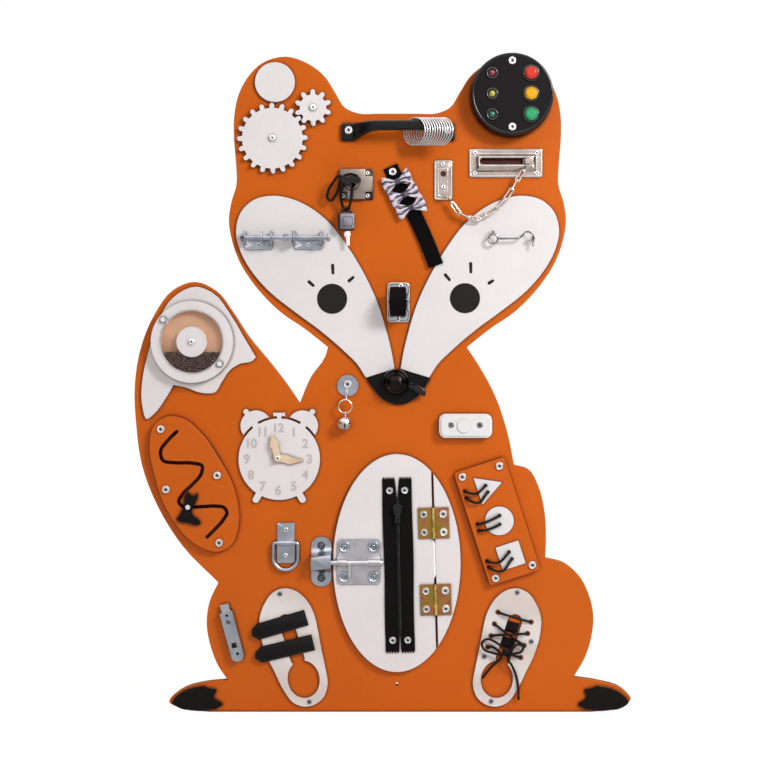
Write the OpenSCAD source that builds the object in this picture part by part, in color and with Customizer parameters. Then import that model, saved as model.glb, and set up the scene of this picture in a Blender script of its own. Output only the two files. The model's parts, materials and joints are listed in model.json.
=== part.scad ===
/* [Board] */
// Thickness of the base board
board_t = 12; // [9:0.5:21]
// Thickness of the thin painted panels
panel_t = 4; // [3:0.5:6]
// Thickness of the thick panels: maze and shape board
thick_t = 10; // [9:0.5:14]
// Radius of the peekaboo hole behind the door
peek_r = 58; // [40:1:60]
// Radius of the small hole for a wall screw
wall_hole_r = 2.2; // [1.5:0.1:3]
// Radius of the bare round badge disc
badge_r = 27.5; // [20:0.5:29]

/* [Fasteners] */
// Radius of a wood screw's shank
screw_r = 1.5; // [1:0.1:1.8]
// Radius of a wood screw's head
head_r = 3.3; // [2.8:0.1:3.6]
// Depth that a wood screw reaches into the board
bite = 8; // [5:0.5:8.5]
// Outer radius of a cup washer
cup_r = 5.6; // [5:0.1:6]
// Radius of an axle screw's shank
axle_r = 2.5; // [2:0.1:3]

/* [Gears] */
// Gear module: pitch diameter over teeth
gear_module = 4.66; // [4.5:0.02:4.8]
// Teeth of the large gear
large_teeth = 20; // [18:1:20]
// Teeth of the small gear
small_teeth = 10; // [9:1:12]
// Width of a gear tooth at its root
tooth_w = 7; // [5:0.1:7.4]
// Height of a tooth above the pitch circle
tooth_add = 2; // [1.6:0.1:2.6]

/* [Handle and rings] */
// Distance between the two handle screws
handle_pitch = 136; // [130:1:150]
// Height of the grip's middle above the board
handle_rise = 24; // [22:0.5:30]
// Number of steel rings
ring_count = 12; // [6:1:12]
// Outer radius of a steel ring
ring_r = 19.5; // [18:0.5:21]
// Wire radius of a steel ring
ring_wire = 1; // [0.8:0.1:1.1]

/* [Light box] */
// Radius of the light box
box_r = 56; // [53:0.5:58]
// Height of the light box
box_h = 24; // [22:0.5:28]
// Radius of a push button's cap
cap_r = 8.3; // [7:0.1:9]
// Travel of a push button
push = 2.5; // [1.5:0.1:3]

/* [Steel fittings] */
// Thickness of the pressed steel plates
sheet = 1.5; // [1:0.1:2]
// Width of the chain track plate
track_w = 101; // [100:1:106]
// Travel of the chain slider
chain_travel = 60; // [40:1:62]
// Wire radius of the chain
chain_wire = 1.1; // [0.8:0.1:1.3]
// Radius of the threaded bolt
bolt_r = 3; // [2.5:0.1:3.5]
// Radius of the castor wheel
wheel_r = 20; // [16:0.5:21]
// Width of the castor wheel
wheel_w = 22; // [16:0.5:24]
// Wire radius of the D-shaped bail
bail_wire = 2.5; // [2:0.1:3]
// Radius of the door bolt's rod
rod_r = 3.5; // [3:0.1:3.6]
// Travel of the door bolt
bolt_travel = 13.5; // [10:0.5:13.5]

/* [Door] */
// Half width of the oval door
door_rx = 87.5; // [84:0.5:90]
// Half height of the oval door
door_rz = 149.4; // [146:0.5:152]
// Thickness of the door
door_t = 8; // [6:0.5:10]
// Height of a hinge leaf
leaf_h = 42; // [36:1:46]
// Radius of a hinge pin
pin_r = 1.5; // [1:0.1:1.7]
// Length of the zip tape
zip_l = 235; // [220:1:240]

/* [Wheel, maze and clock] */
// Radius of the grain wheel
wheel_disc_r = 56; // [54:0.5:57]
// Thickness of the grain wheel
wheel_disc_t = 12; // [10:0.5:16]
// Radius of the pocket in the grain wheel
pocket_r = 42; // [38:0.5:43]
// Radius of the grain wheel's hub
hub_r = 21; // [16:0.5:23]
// Width of the maze slot
slot_w = 5; // [4.5:0.1:5.4]
// Radius of the clock face
clock_r = 56; // [54:0.5:57]
// Length of the clock hands
hand_l = 35; // [28:0.5:38]

/* [Shape tiles and soft parts] */
// Radius of the round tile
tile_r = 19.8; // [16:0.2:20.4]
// Side of the square tile
tile_side = 33; // [28:0.5:34]
// Thickness of a tile
tile_t = 6; // [5:0.5:7]
// Radius of the tile cords
cord_r = 1.7; // [1:0.1:1.8]
// Radius of the shoe lace
lace_r = 1.7; // [1:0.1:1.8]
// Width of a shoe strap
strap_w = 22; // [16:0.5:23]

/* [Hidden] */
$fn = 48;
head_h = 1.8;
gear_t = 6;
grip_d = 8;
lens_r = 4.5;
track_h = 39;
zip_w = 40;
elastic_w = 17;
big_cup_r = 8;
box_wall = 4;
hook_wire = 1.1;
leaf_w = 20;
free = 0.3;          // gap between bodies that move past each other
run = 0.06;          // radial clearance of a shaft in its bore
hole_gap = 0.12;     // radial clearance round a screw's shank
drill_r = screw_r + hole_gap;
head_axis = -3.5;    // the head is the same on both sides of this line

orange = "#d4641c";
white = "#e6dede";
black = "#252021";
steel = "#b4b4b8";
zinc = "#c9ccd2";
yellow_zinc = "#a8844a";
beech = "#d8bfa3";

// ---- frames and curves ----

// Children stand on the board's front: x across, y up the board, z out of it
module on_front(out = 0) translate([0, -board_t / 2 - out, 0]) rotate([90, 0, 0]) children();

// The same at a place on the front, turned anticlockwise by an angle
module at_front(place, out = 0, turn = 0)
  on_front(out) translate([place[0], place[1], 0]) rotate(turn) children();

function flat(p) = [p[0], p[1]];
function sharp(p) = len(p) > 2;

// Slope of a smooth curve at b, between its neighbours a and c
function slope(a, b, c) =
  let (ab = b - a, bc = c - b, h = norm(ab), k = norm(bc))
  (ab / h * k + bc / k * h) / (h + k);

function hermite(b, c, mb, mc, t) =
  (2 * pow(t, 3) - 3 * pow(t, 2) + 1) * b + (pow(t, 3) - 2 * pow(t, 2) + t) * mb
  + (3 * pow(t, 2) - 2 * pow(t, 3)) * c + (pow(t, 3) - pow(t, 2)) * mc;

// Smooth closed outline through points; a point with a third value is a sharp corner
function closed_curve(p, steps = 4) = [
  for (i = [0:len(p) - 1])
    let (n = len(p), a = flat(p[(i + n - 1) % n]), b = flat(p[i]),
      c = flat(p[(i + 1) % n]), d = flat(p[(i + 2) % n]), k = norm(c - b),
      mb = sharp(p[i]) ? c - b : slope(a, b, c) * k,
      mc = sharp(p[(i + 1) % n]) ? c - b : slope(b, c, d) * k)
    for (j = [0:steps - 1]) hermite(b, c, mb, mc, j / steps)];

// Smooth open curve through points, in two or three dimensions
function open_curve(p, steps = 4) = concat([
  for (i = [0:len(p) - 2])
    let (b = p[i], c = p[i + 1], k = norm(c - b),
      mb = i == 0 ? c - b : slope(p[i - 1], b, c) * k,
      mc = i == len(p) - 2 ? c - b : slope(b, c, p[i + 2]) * k)
    for (j = [0:steps - 1]) hermite(b, c, mb, mc, j / steps)], [p[len(p) - 1]]);

function mirrored(p, axis) = [for (q = p) len(q) > 2 ? [2 * axis - q[0], q[1], q[2]] : [2 * axis - q[0], q[1]]];
function reversed(p) = [for (i = [len(p) - 1:-1:0]) p[i]];
function turned(p, a) = [p[0] * cos(a) - p[1] * sin(a), p[0] * sin(a) + p[1] * cos(a)];

// Flat ribbon of a given half width along a path, with round ends
module ribbon(path, half) {
  n = len(path);
  normals = [for (i = [0:n - 1])
    let (d = path[min(i + 1, n - 1)] - path[max(i - 1, 0)]) [-d[1], d[0]] / norm(d)];
  polygon(concat([for (i = [0:n - 1]) path[i] + normals[i] * half],
    [for (i = [n - 1:-1:0]) path[i] - normals[i] * half]));
  for (e = [path[0], path[n - 1]]) translate(e) circle(half);
}

function unit(v) = v / norm(v);

// Round tube swept along a route, its frame carried from ring to ring
module tube(points, r, side = [0, 0, 1], sides = 8) {
  n = len(points);
  dir = [for (i = [0:n - 1]) unit(points[min(i + 1, n - 1)] - points[max(i - 1, 0)])];
  first = unit(cross(dir[0], cross(side, dir[0])));
  frames = [for (i = 0, s = first; i < n; i = i + 1, s = i < n ? unit(s - dir[i] * (s * dir[i])) : s) s];
  rings = [for (i = [0:n - 1]) for (k = [0:sides - 1])
    let (a = 360 * k / sides) points[i] + r * (frames[i] * cos(a) + cross(dir[i], frames[i]) * sin(a))];
  polyhedron(rings, concat([[for (k = [0:sides - 1]) k]],
    [for (i = [0:n - 2]) for (k = [0:sides - 1]) let (q = i * sides, m = (k + 1) % sides)
      [q + k, q + sides + k, q + sides + m, q + m]],
    [[for (k = [sides - 1:-1:0]) (n - 1) * sides + k]]));
}

// Torus with its axis along z
module hoop(r, wire) rotate_extrude() translate([r, 0]) circle(wire, $fn = 20);

// Part of a torus, from one angle over a sweep
module hoop_arc(r, wire, from, sweep)
  rotate(from) rotate_extrude(angle = sweep) translate([r, 0]) circle(wire, $fn = 20);

// Plate with rounded corners, centred
module rounded(w, h, r) {
  square([w - 2 * r, h], center = true);
  square([w, h - 2 * r], center = true);
  for (x = [-1, 1], y = [-1, 1]) translate([x * (w / 2 - r), y * (h / 2 - r)]) circle(r);
}

// ---- places of the fittings on the board: x across, z up ----

badge_at = [-172, 866];
gear_at = [-175.3, 788.6];
mesh_angle = 36.9;
gear_distance = gear_module * (large_teeth + small_teeth) / 2;
small_gear_at = gear_at + gear_distance * [cos(mesh_angle), sin(mesh_angle)];
handle_at = [-2.6, 800.5];
box_at = [152.5, 846];
track_at = [145.5, 755];
anchor_at = [59.5, 731.7];
lock_at = [-60, 725.5];
strap_at = [-10, 743];
rod_at = [-159, 651];
eye_left = [127.3, 650];
eye_right = [182, 651];
castor_at = [-2.2, 563.5];
bell_at = [-5.6, 452.7];
jingle_at = [-72, 449];
doorbell_at = [89.7, 394];
tail_wheel_at = [-284.6, 508.8];
clock_at = [-166, 348];
clock_pin = [-167.5, 349.5];
dring_at = [-157, 233];
door_at = [-4.5, 205.7];
hinge_at = [47.5, 205.7];
hinge_lean = 1.6;
zip_at = [-2, 203];
zip_lean = 1.2;
bolt_z = 207;
strike_x = -108.2;
shape_at = [133, 263];
shape_turn = 17.9;
latch_at = [-230.5, 108];
latch_turn = 15;
shoe_axis = 0.3;

// ---- base board ----

// Right half of the head, from the nape up to the middle of the flat crown
head_half = [[92, 502, 1], [125, 528], [157, 550], [180, 572], [198, 594], [213, 618], [224, 648],
  [228.5, 676], [225, 702], [218, 726], [218.5, 752], [221.5, 790], [221, 822], [215, 850], [203, 873],
  [183, 893], [150, 902], [119, 892], [97, 875], [82, 852], [69, 832], [53, 824.5], [20, 823.5, 1]];

right_side = [[262, 0, 1], [296, 4], [318, 18], [306, 32], [272, 43], [239, 48, 1], [255, 76],
  [264, 106], [266, 134], [259, 164], [246, 188], [226, 205], [200, 212, 1], [201, 242], [198, 282],
  [190, 312], [177, 334], [157, 340, 1], [149, 380], [131, 435], [109, 476]];

left_side = [[-103, 489], [-122, 462], [-138, 425, 1], [-149, 442], [-176, 478], [-208, 517], [-231, 552],
  [-252, 579], [-282, 592], [-312, 581], [-338, 547], [-356, 504], [-365, 450], [-363, 394], [-355, 339],
  [-334, 284], [-299, 228], [-250, 178, 1], [-262, 152], [-266, 120], [-260, 88], [-250, 63], [-237, 44, 1],
  [-268, 41], [-302, 30], [-318, 14], [-298, 4], [-262, 0, 1]];

silhouette = closed_curve(concat(right_side, [[92, 502, 1]], [for (i = [1:len(head_half) - 1]) head_half[i]],
  reversed(mirrored(head_half, head_axis)), left_side));

peek_at = [-4.5, 208];
wall_hole_at = [-4, 38.5];

module base_board() {
  color(orange) difference() {
    on_front(-board_t) linear_extrude(board_t) polygon(silhouette);
    at_front(peek_at, -board_t - 1) cylinder(r = peek_r, h = board_t + 2, $fn = 96);
    at_front(wall_hole_at, -board_t - 1) cylinder(r = wall_hole_r, h = board_t + 2);
    for (g = screw_groups) for (p = g[0]) at_front(p, -bite - 0.5) cylinder(r = drill_r, h = bite + 1);
    for (p = axle_places) at_front(p, -bite - 0.5) cylinder(r = axle_r + hole_gap, h = bite + 1);
    for (p = lace_holes) at_front(p, -board_t - 1) cylinder(r = lace_hole_r, h = board_t + 2);
    for (q = back_runs) on_front(-board_t - 1) linear_extrude(2 * lace_r + 1.8) ribbon(q, lace_hole_r - 0.2);
    for (p = eye_places) at_front(p, -bite - 0.5) cylinder(r = drill_r, h = bite + 1);
  }
}

// ---- white and black panels ----

// Cheek panel to the right of the head's axis, measured from that axis
cheek = [[4, 472, 1], [8, 495], [14, 520], [27, 562], [46, 603], [67, 638], [92, 671], [122, 695], [150, 707],
  [172, 710], [198, 704], [215, 688], [222, 660], [216, 634], [199, 604], [178, 580], [142, 551], [108, 526],
  [73, 496], [55, 478], [43.5, 460, 1]];

tail_panel = [[-280, 585], [-258, 577], [-231, 543.5], [-213, 513], [-198, 488, 1], [-203, 483], [-220, 479],
  [-233, 471], [-245, 454], [-254, 440], [-272, 439], [-296, 447], [-311, 450, 1], [-323, 430], [-337, 411],
  [-348, 403], [-354, 420], [-354, 458], [-346, 494], [-331, 541], [-312, 570]];

nose = [[-46, 459, 1], [-25, 466], [-2, 470], [20, 466], [42, 459, 1], [32, 444], [17, 429], [-2, 423],
  [-21, 429], [-36, 444]];

// Left paw tip, with its jagged inner edge
paw = [[-313, 14], [-306, 23], [-290, 32], [-269, 36, 1], [-264, 33, 1], [-252, 31, 1], [-257, 20, 1],
  [-243, 11, 1], [-253, 5, 1], [-282, 3], [-303, 6]];
nose_gap = 0.4;

module cheek_outline() translate([head_axis, 0]) polygon(closed_curve(cheek));

module white_panels() {
  color(white) {
    on_front() linear_extrude(panel_t) difference() {
      union() {
        cheek_outline();
        translate([2 * head_axis, 0]) mirror([1, 0]) cheek_outline();
      }
      for (p = concat(eye_places, bracket_screws)) translate(p) circle(drill_r);
    }
    on_front() linear_extrude(panel_t) difference() {
      polygon(closed_curve(tail_panel));
      translate(tail_wheel_at) circle(axle_r + hole_gap);
    }
    at_front(badge_at) cylinder(r = badge_r, h = panel_t, $fn = 96);
    on_front() linear_extrude(door_t) difference() {
      door_oval();
      hinge_plane() translate([-200, -200]) square([200 + door_gap / 2, 400]);
      for (z = hinge_heights) hinge_plane() leaf_screw_holes(z, 1);
    }
  }
}

module black_panels() {
  color(black) {
    on_front() linear_extrude(panel_t) difference() {
      polygon(closed_curve(nose));
      translate([0, nose_gap]) cheek_outline();
      translate([2 * head_axis, nose_gap]) mirror([1, 0]) cheek_outline();
      translate(bell_at) circle(drill_r);
    }
    for (side = [0, 1]) on_front() linear_extrude(panel_t)
      translate([side, 0]) mirror([side, 0]) polygon(closed_curve(paw));
  }
}

// ---- gears ----

// Tooth: a finger with a round tip, standing on the rim
module gear_outline(teeth, phase) {
  pitch_r = gear_module * teeth / 2;
  tip_r = pitch_r + tooth_add;
  root_r = pitch_r - gear_root;
  tip_w = tooth_w * 0.88;
  circle(root_r, $fn = 96);
  for (i = [0:teeth - 1]) rotate(phase + i * 360 / teeth) {
    polygon([[root_r - 2, -tooth_w / 2], [tip_r - tip_w / 2, -tip_w / 2], [tip_r - tip_w / 2, tip_w / 2],
      [root_r - 2, tooth_w / 2]]);
    translate([tip_r - tip_w / 2, 0]) circle(tip_w / 2, $fn = 24);
  }
}
gear_root = 5.1;
gear_lift = 0.4;

module gear_large() {
  color(white) at_front(gear_at, gear_lift) linear_extrude(gear_t) difference() {
    gear_outline(large_teeth, mesh_angle);
    circle(axle_r + run);
  }
}

module gear_small() {
  color(white) at_front(small_gear_at, gear_lift) linear_extrude(gear_t) difference() {
    gear_outline(small_teeth, mesh_angle + 180 + 180 / small_teeth);
    circle(axle_r + run);
  }
}

// ---- pull handle and its rings ----

foot_l = 20;
foot_t = 6;
foot_h = 24;
grip_h = 13.5;
grip_lift = 2.5;       // the grip's middle line lies this far above the feet's
handle_screws = [for (s = [-1, 1]) handle_at + [s * handle_pitch / 2, -1]];
handle_edge = handle_pitch / 2 + foot_l / 2;

// The handle seen from above: a long slope on the left, a steep leg on the right
grip_top = handle_rise + grip_d / 2;
grip_back = handle_rise - grip_d / 2;
handle_bow = [[-handle_edge, 0, 1], [-handle_edge, foot_t, 1], [foot_l - handle_edge - 2, foot_t],
  [foot_l - handle_edge + 10, handle_rise * 0.75], [foot_l - handle_edge + 24, grip_top - 0.6],
  [-24, grip_top, 1], [52, grip_top, 1], [58.5, grip_top - 4.5], [60.5, foot_t + 6], [61.8, foot_t, 1],
  [handle_edge, foot_t, 1], [handle_edge, 0, 1], [59, 0, 1], [57.5, grip_back - 5],
  [56.5, grip_back, 1], [-24, grip_back, 1], [foot_l - handle_edge + 27, grip_back - 0.6],
  [foot_l - handle_edge + 14, handle_rise * 0.42], [foot_l - handle_edge + 2, 0, 1]];

// The handle seen from the front, left half: a tall foot that narrows to the grip
foot_low = -foot_h / 2 - 3;
function handle_face(foot, ramp) = [[-handle_edge, foot_low, 1], [-handle_edge, foot_h + foot_low, 1],
  [foot - handle_edge, foot_h + foot_low], [foot + ramp - handle_edge, grip_lift + grip_h / 2, 1],
  [1, grip_lift + grip_h / 2, 1], [1, grip_lift - grip_h / 2, 1],
  [foot + ramp - handle_edge, grip_lift - grip_h / 2, 1], [foot - handle_edge, foot_low]];

module pull_handle() {
  color(black) difference() {
    at_front(handle_at) intersection() {
      translate([0, foot_h, 0]) rotate([90, 0, 0]) linear_extrude(2 * foot_h) polygon(closed_curve(handle_bow));
      linear_extrude(2 * handle_rise) {
        polygon(closed_curve(handle_face(foot_l, 24)));
        mirror([1, 0]) polygon(closed_curve(handle_face(13, 4)));
      }
    }
    for (p = handle_screws) at_front(p, -1) cylinder(r = drill_r, h = foot_t + 2);
  }
}

ring_tilt = 50;       // how far each ring is turned from square across the grip
ring_step = 3.4;
ring_first = 22;
ring_drop = ring_r - 2 * ring_wire - grip_h / 2 - 2.2;

module handle_rings() {
  color(zinc) for (i = [0:ring_count - 1])
    at_front(handle_at + [ring_first + i * ring_step, grip_lift - ring_drop], handle_rise)
      rotate([0, 90 + ring_tilt, 0]) hoop(ring_r - ring_wire, ring_wire);
}

// ---- light box ----

button_x = 25.4;
button_step = 28;
lamp_x = -27.4;
bezel_r = 11;
bezel_h = 1.6;
lamp_bezel_r = 8;
sleeve_r = 6.2;
post_r = 5;
post_places = [[0, 45], [0, -45]];
cap_h = 5;
flange_r = cap_r + 1.6;
flange_t = 2;

module light_box() {
  color(black) at_front(box_at) difference() {
    union() {
      difference() {
        rotate_extrude($fn = 96) polygon(concat([[0, 0], [box_r, 0]],
          [for (a = [0:15:90]) [box_r - 4 + 4 * cos(a), box_h - 4 + 4 * sin(a)]], [[0, box_h]]));
        translate([0, 0, -1]) cylinder(r = box_r - box_wall, h = box_h - box_wall + 1, $fn = 96);
      }
      for (p = post_places) translate(p) cylinder(r = post_r, h = box_h - box_wall);
    }
    for (p = post_places) translate([p[0], p[1], -1]) cylinder(r = drill_r, h = box_h + 2);
    for (i = [-1:1]) {
      translate([button_x, i * button_step, 0]) cylinder(r = cap_r + run, h = box_h + 2);
      translate([lamp_x, i * button_step, 0]) cylinder(r = sleeve_r + hole_gap, h = box_h + 2);
    }
  }
}

module bezel(outer, inner) difference() {
  cylinder(r1 = outer, r2 = outer - 0.8, h = bezel_h, $fn = 64);
  translate([0, 0, -1]) cylinder(r = inner, h = bezel_h + 2);
}

cell_r = 5.2;
cell_l = 44;
switch_r = 6;

module light_electronics() {
  at_front(box_at) {
    for (i = [-1:1]) {
      color(zinc) translate([button_x, i * button_step, box_h]) bezel(bezel_r, cap_r + run);
      color(zinc) translate([lamp_x, i * button_step, 0]) difference() {
        union() {
          translate([0, 0, box_h]) cylinder(r = lamp_bezel_r, h = bezel_h);
          translate([0, 0, box_h - box_wall - 2]) cylinder(r = sleeve_r, h = box_wall + 3);
        }
        translate([0, 0, 1]) cylinder(r = lens_r + hole_gap, h = box_h + 5);
      }
      color(["#7c1f1c", "#b8a01e", "#1e6a44"][1 - i]) translate([lamp_x, i * button_step, 0]) {
        translate([0, 0, box_h - box_wall - 4]) cylinder(r = lens_r, h = box_wall + 4);
        translate([0, 0, box_h]) intersection() {
          sphere(lens_r);
          cylinder(r = lens_r, h = lens_r);
        }
      }
      color("#222") translate([button_x, i * button_step, 0])
        cylinder(r = switch_r, h = box_h - box_wall - free - flange_t - push - 0.5);
    }
    color("#303034") difference() {
      translate([0, 0, 8]) cube([2 * cell_r * 2 + 4, cell_l + 6, 16], center = true);
      for (x = [-1, 1]) translate([x * (cell_r + 0.3), 0, 10]) rotate([90, 0, 0])
        cylinder(r = cell_r + 0.1, h = cell_l + 0.4, center = true);
    }
    color("#5b7f9e") for (x = [-1, 1]) translate([x * (cell_r + 0.3), 0, 10]) rotate([90, 0, 0])
      cylinder(r = cell_r, h = cell_l, center = true);
  }
}

module push_button(i, tint) {
  color(tint) at_front(box_at + [button_x, i * button_step]) {
    translate([0, 0, box_h - box_wall - free - flange_t]) cylinder(r = flange_r, h = flange_t);
    translate([0, 0, box_h - box_wall - free - 0.5]) cylinder(r = cap_r, h = box_wall + cap_h + 0.5);
    translate([0, 0, box_h + cap_h - free]) cylinder(r1 = cap_r, r2 = cap_r - 1.2, h = 1.2);
  }
}

module button_red() push_button(1, "#dc3a2a");
module button_yellow() push_button(0, "#f2b613");
module button_green() push_button(-1, "#2fa866");

// ---- door chain ----

track_rise = 7;       // height of the raised track above the board
track_rib = [80, 21];
neck_r = 2;
track_slot = 4.5;      // half height of the slot in the track
slide_right = [29.5, 2];
track_screws = [for (x = [-1, 1], z = [-1, 1]) track_at + [x * (track_w / 2 - 8), z * (track_h / 2 - 5.5)]];
anchor_screws = [anchor_at + [-1, 21.8], anchor_at + [0, -9.7]];
anchor_pin = anchor_at + [2.5, -20.7];
chain_w = 11;        // height of the chain above the board

module chain_plates() {
  color(zinc) {
    difference() {
      union() {
        at_front(track_at) linear_extrude(sheet) rounded(track_w, track_h, 3);
        at_front(track_at) linear_extrude(track_rise) rounded(track_rib[0], track_rib[1], 2);
      }
      at_front(track_at, -1) linear_extrude(track_rise - sheet + 1)
        rounded(track_rib[0] - 2 * sheet, track_rib[1] - 2 * sheet, 1);
      at_front(track_at + slide_right, 0) linear_extrude(track_rise + 1)
        ribbon([[0, 0], [-chain_travel - 1, 0]], track_slot);
      for (p = track_screws) at_front(p, -1) cylinder(r = drill_r, h = sheet + 2);
    }
    difference() {
      at_front(anchor_at) linear_extrude(sheet) rounded(25, 54.5, 3);
      for (p = anchor_screws) at_front(p, -1) cylinder(r = drill_r, h = sheet + 2);
      at_front(anchor_at + [0, 8.6], -1) cylinder(r = 4, h = sheet + 2);
    }
    at_front(anchor_pin, sheet) cylinder(r = neck_r, h = chain_w + chain_wire + 0.8 - sheet);
    at_front(anchor_pin, chain_w + chain_wire + 0.5) cylinder(r = neck_r + 1.8, h = 1);
  }
}

module chain_slider() {
  color(zinc) at_front(track_at + slide_right) {
    translate([0, 0, track_rise - sheet - free - 2]) cylinder(r = 6.5, h = 2);
    translate([0, 0, track_rise - sheet - free - 0.5])
      cylinder(r = track_slot - free, h = sheet + 2 * free + 1);
    translate([0, 0, track_rise - sheet - free - 0.5]) cylinder(r = neck_r, h = chain_w + chain_wire + 1 - track_rise + sheet + free + 0.5);
    translate([0, 0, chain_w + chain_wire + 0.5]) cylinder(r = neck_r + 1.8, h = 1);
  }
}

// One chain link between two places: flat, or turned on edge
link_out = 3.6;      // half width of a link
module link(a, b, on_edge) {
  d = b - a;
  mid = (a + b) / 2;
  half = norm(d) / 2 - 0.6;
  at_front(mid, chain_w, atan2(d[1], d[0])) rotate([on_edge ? 90 : 0, 0, 0]) {
    for (s = [0, 1]) rotate(180 * s) {
      translate([half - 1.6, 0, 0]) hoop_arc(link_out - chain_wire, chain_wire, -90, 180);
      translate([-half + 1.6, link_out - chain_wire, 0]) rotate([0, 90, 0])
        cylinder(r = chain_wire, h = 2 * half - 3.2, $fn = 20);
    }
  }
}

// Hook-up eye that turns on a pin
module pin_eye(place) at_front(place, chain_w) hoop(neck_r + run + chain_wire, chain_wire);

chain_low = [[62, 711], [71, 698.5], [80.5, 685], [95, 678.5], [108, 676.5]];
chain_high = [[175, 757], [168.5, 742], [160, 730], [153, 717], [144, 704], [132, 692], [118.5, 683]];

module chain_run(p) {
  for (i = [1:len(p) - 2]) {
    d = unit(p[i + 1] - p[i]);
    link(p[i] - d * 1.7, p[i + 1] + d * 1.7, i % 2 == 0);
  }
}

module chain_lower() {
  color(zinc) {
    pin_eye(anchor_pin);
    chain_run(chain_low);
    stub(chain_low);
  }
}

module chain_upper() {
  color(zinc) {
    pin_eye(track_at + slide_right);
    chain_run(chain_high);
    stub(chain_high);
  }
}

// First link of a run, from the eye on its pin to the second link
module stub(p) {
  d = unit(p[1] - p[0]);
  start = p[0] + d * (neck_r + run + 2 * chain_wire - 0.3);
  at_front(start, chain_w, atan2(d[1], d[0])) {
    rotate([0, 90, 0]) cylinder(r = chain_wire - 0.2, h = norm(p[1] - start) - 2.2, $fn = 20);
    translate([norm(p[1] - start) - 0.6, 0, 0]) rotate([90, 0, 0]) hoop(2.5, chain_wire);
  }
}

// ---- rim lock, its key, cord and padlock ----

lock_w = 46;
lock_h = 43;
lock_t = 9;
lock_screws = [[-44.5, 741], [-44.5, 710], [-77.5, 710]];
keyhole = [-66.5, 727];
barrel_r = 8;
barrel_h = 13;
shank_r = 2.6;
key_out = 22;

module lock_case() {
  color(steel) difference() {
    union() {
      at_front(lock_at) linear_extrude(sheet) rounded(lock_w, lock_h, 2);
      at_front(lock_at + [0, 3]) linear_extrude(lock_t) rounded(lock_w - 14, lock_h - 12, 2);
      at_front(keyhole) cylinder(r = barrel_r, h = barrel_h);
    }
    at_front(keyhole, 2) cylinder(r = shank_r + run, h = barrel_h);
    for (p = lock_screws) at_front(p, -1) cylinder(r = drill_r, h = barrel_h);
    for (p = lock_screws) at_front(p, sheet) cylinder(r = head_r + 0.6, h = barrel_h);
  }
}

module lock_key() {
  color(black) at_front(keyhole) {
    translate([0, 0, 3]) cylinder(r = shank_r, h = key_out);
    translate([0, 0, key_out]) linear_extrude(15) rounded(27, 8, 3.5);
  }
}

lock_cord_r = 1.5;
padlock_at = [-73.5, 673];
// Route of the lanyard: round the key's neck, out to the left, back round the neck, down through the shackle
lock_cord_route = [[-68, -24.5, 721.5], [-73, -24.5, 726], [-74.5, -24.5, 733], [-82, -24.5, 736], [-91, -23, 728],
  [-98, -20, 715], [-98.5, -18.5, 707], [-93, -18.5, 705.5], [-86, -19.5, 713], [-79, -20.8, 723], [-73, -20.8, 731],
  [-66.5, -20.8, 733.4], [-60.3, -20.8, 728], [-60, -20.8, 718], [-64, -22, 704], [-70, -23.8, 695.5],
  [-73.3, -23, 693.6], [-73.7, -19, 693], [-74, -15.2, 694], [-76.5, -14, 699], [-79.5, -17, 706],
  [-80.2, -21, 713], [-77.5, -24.4, 720.5]];
shackle_wire = 1.8;

module lock_cord() {
  color(black) tube(lock_cord_route, lock_cord_r, [0, 1, 0]);
}

module padlock() {
  color("#7d7a80") difference() {
    at_front(padlock_at, 7) linear_extrude(12) rounded(23, 24, 2.5);
    at_front(padlock_at + [1.5, -11], 13) rotate([90, 0, 0]) cylinder(r = 3.2, h = 12, center = true);
  }
  color(zinc) at_front(padlock_at, 13) {
    translate([0, 18, 0]) hoop_arc(5.5, shackle_wire, 0, 180);
    for (x = [-1, 1]) translate([x * 5.5, 18, 0]) rotate([90, 0, 0])
      cylinder(r = shackle_wire, h = 6.5, $fn = 24);
    translate([1.5, -19, 0]) rotate([90, 0, 0]) cylinder(r = 2.6, h = 18, center = true);
    translate([1.5, -29, -1]) linear_extrude(2) difference() {
      rounded(9, 18, 4);
      translate([0, -5]) circle(2);
    }
  }
}

// ---- elastic strap with bows ----

elastic_turn = -66.2;   // the strap runs down to the right
elastic_l = 150;
elastic_t = 1.6;
bow_places = [21, 44, 66];
bow_turn = 85;

// The strap rises along its length to lie over the cheek panel's edge
function strap_lift(x) = 0.2 + max(0, x - 14) / (elastic_l - 22) * (panel_t + free - 0.2);
elastic_side = [for (x = [-8, 14, elastic_l - 8]) [x, strap_lift(x)]];

module bow_strap() {
  color(black) at_front(strap_at, 0, elastic_turn) difference() {
    rotate([90, 0, 0]) linear_extrude(elastic_w, center = true)
      polygon(concat(elastic_side, reversed([for (q = elastic_side) [q[0], q[1] + elastic_t]])));
    translate([0, 0, -1]) cylinder(r = drill_r, h = 6);
  }
  color("#8f8790") for (x = bow_places) at_front(strap_at, strap_lift(x) + elastic_t + 0.1, elastic_turn)
    translate([x, 0, 4]) rotate(bow_turn) {
      for (s = [-1, 1]) translate([s * 11.5, 0, 0]) scale([1.15, 0.85, 0.42]) sphere(9.5, $fn = 24);
      cube([7, 12, 6.6], center = true);
    }
}

// ---- long bolt in two brackets, with a wing nut ----

rod_lift = 13;        // height of the bolt's axis above the cheek panel
rod_l = 118;
bracket_l = 38;
bracket_x = [rod_at[0] - 0.297 * rod_l, rod_at[0] + 0.28 * rod_l];
bracket_drop = -6;
bracket_screws = [for (x = bracket_x) [x, rod_at[1] - 9]];
nut_x = rod_at[0] + 2;
rod_z = panel_t + rod_lift;

module along_rod(x) at_front([x, rod_at[1]], rod_z) rotate([0, 90, 0]) children();

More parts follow.
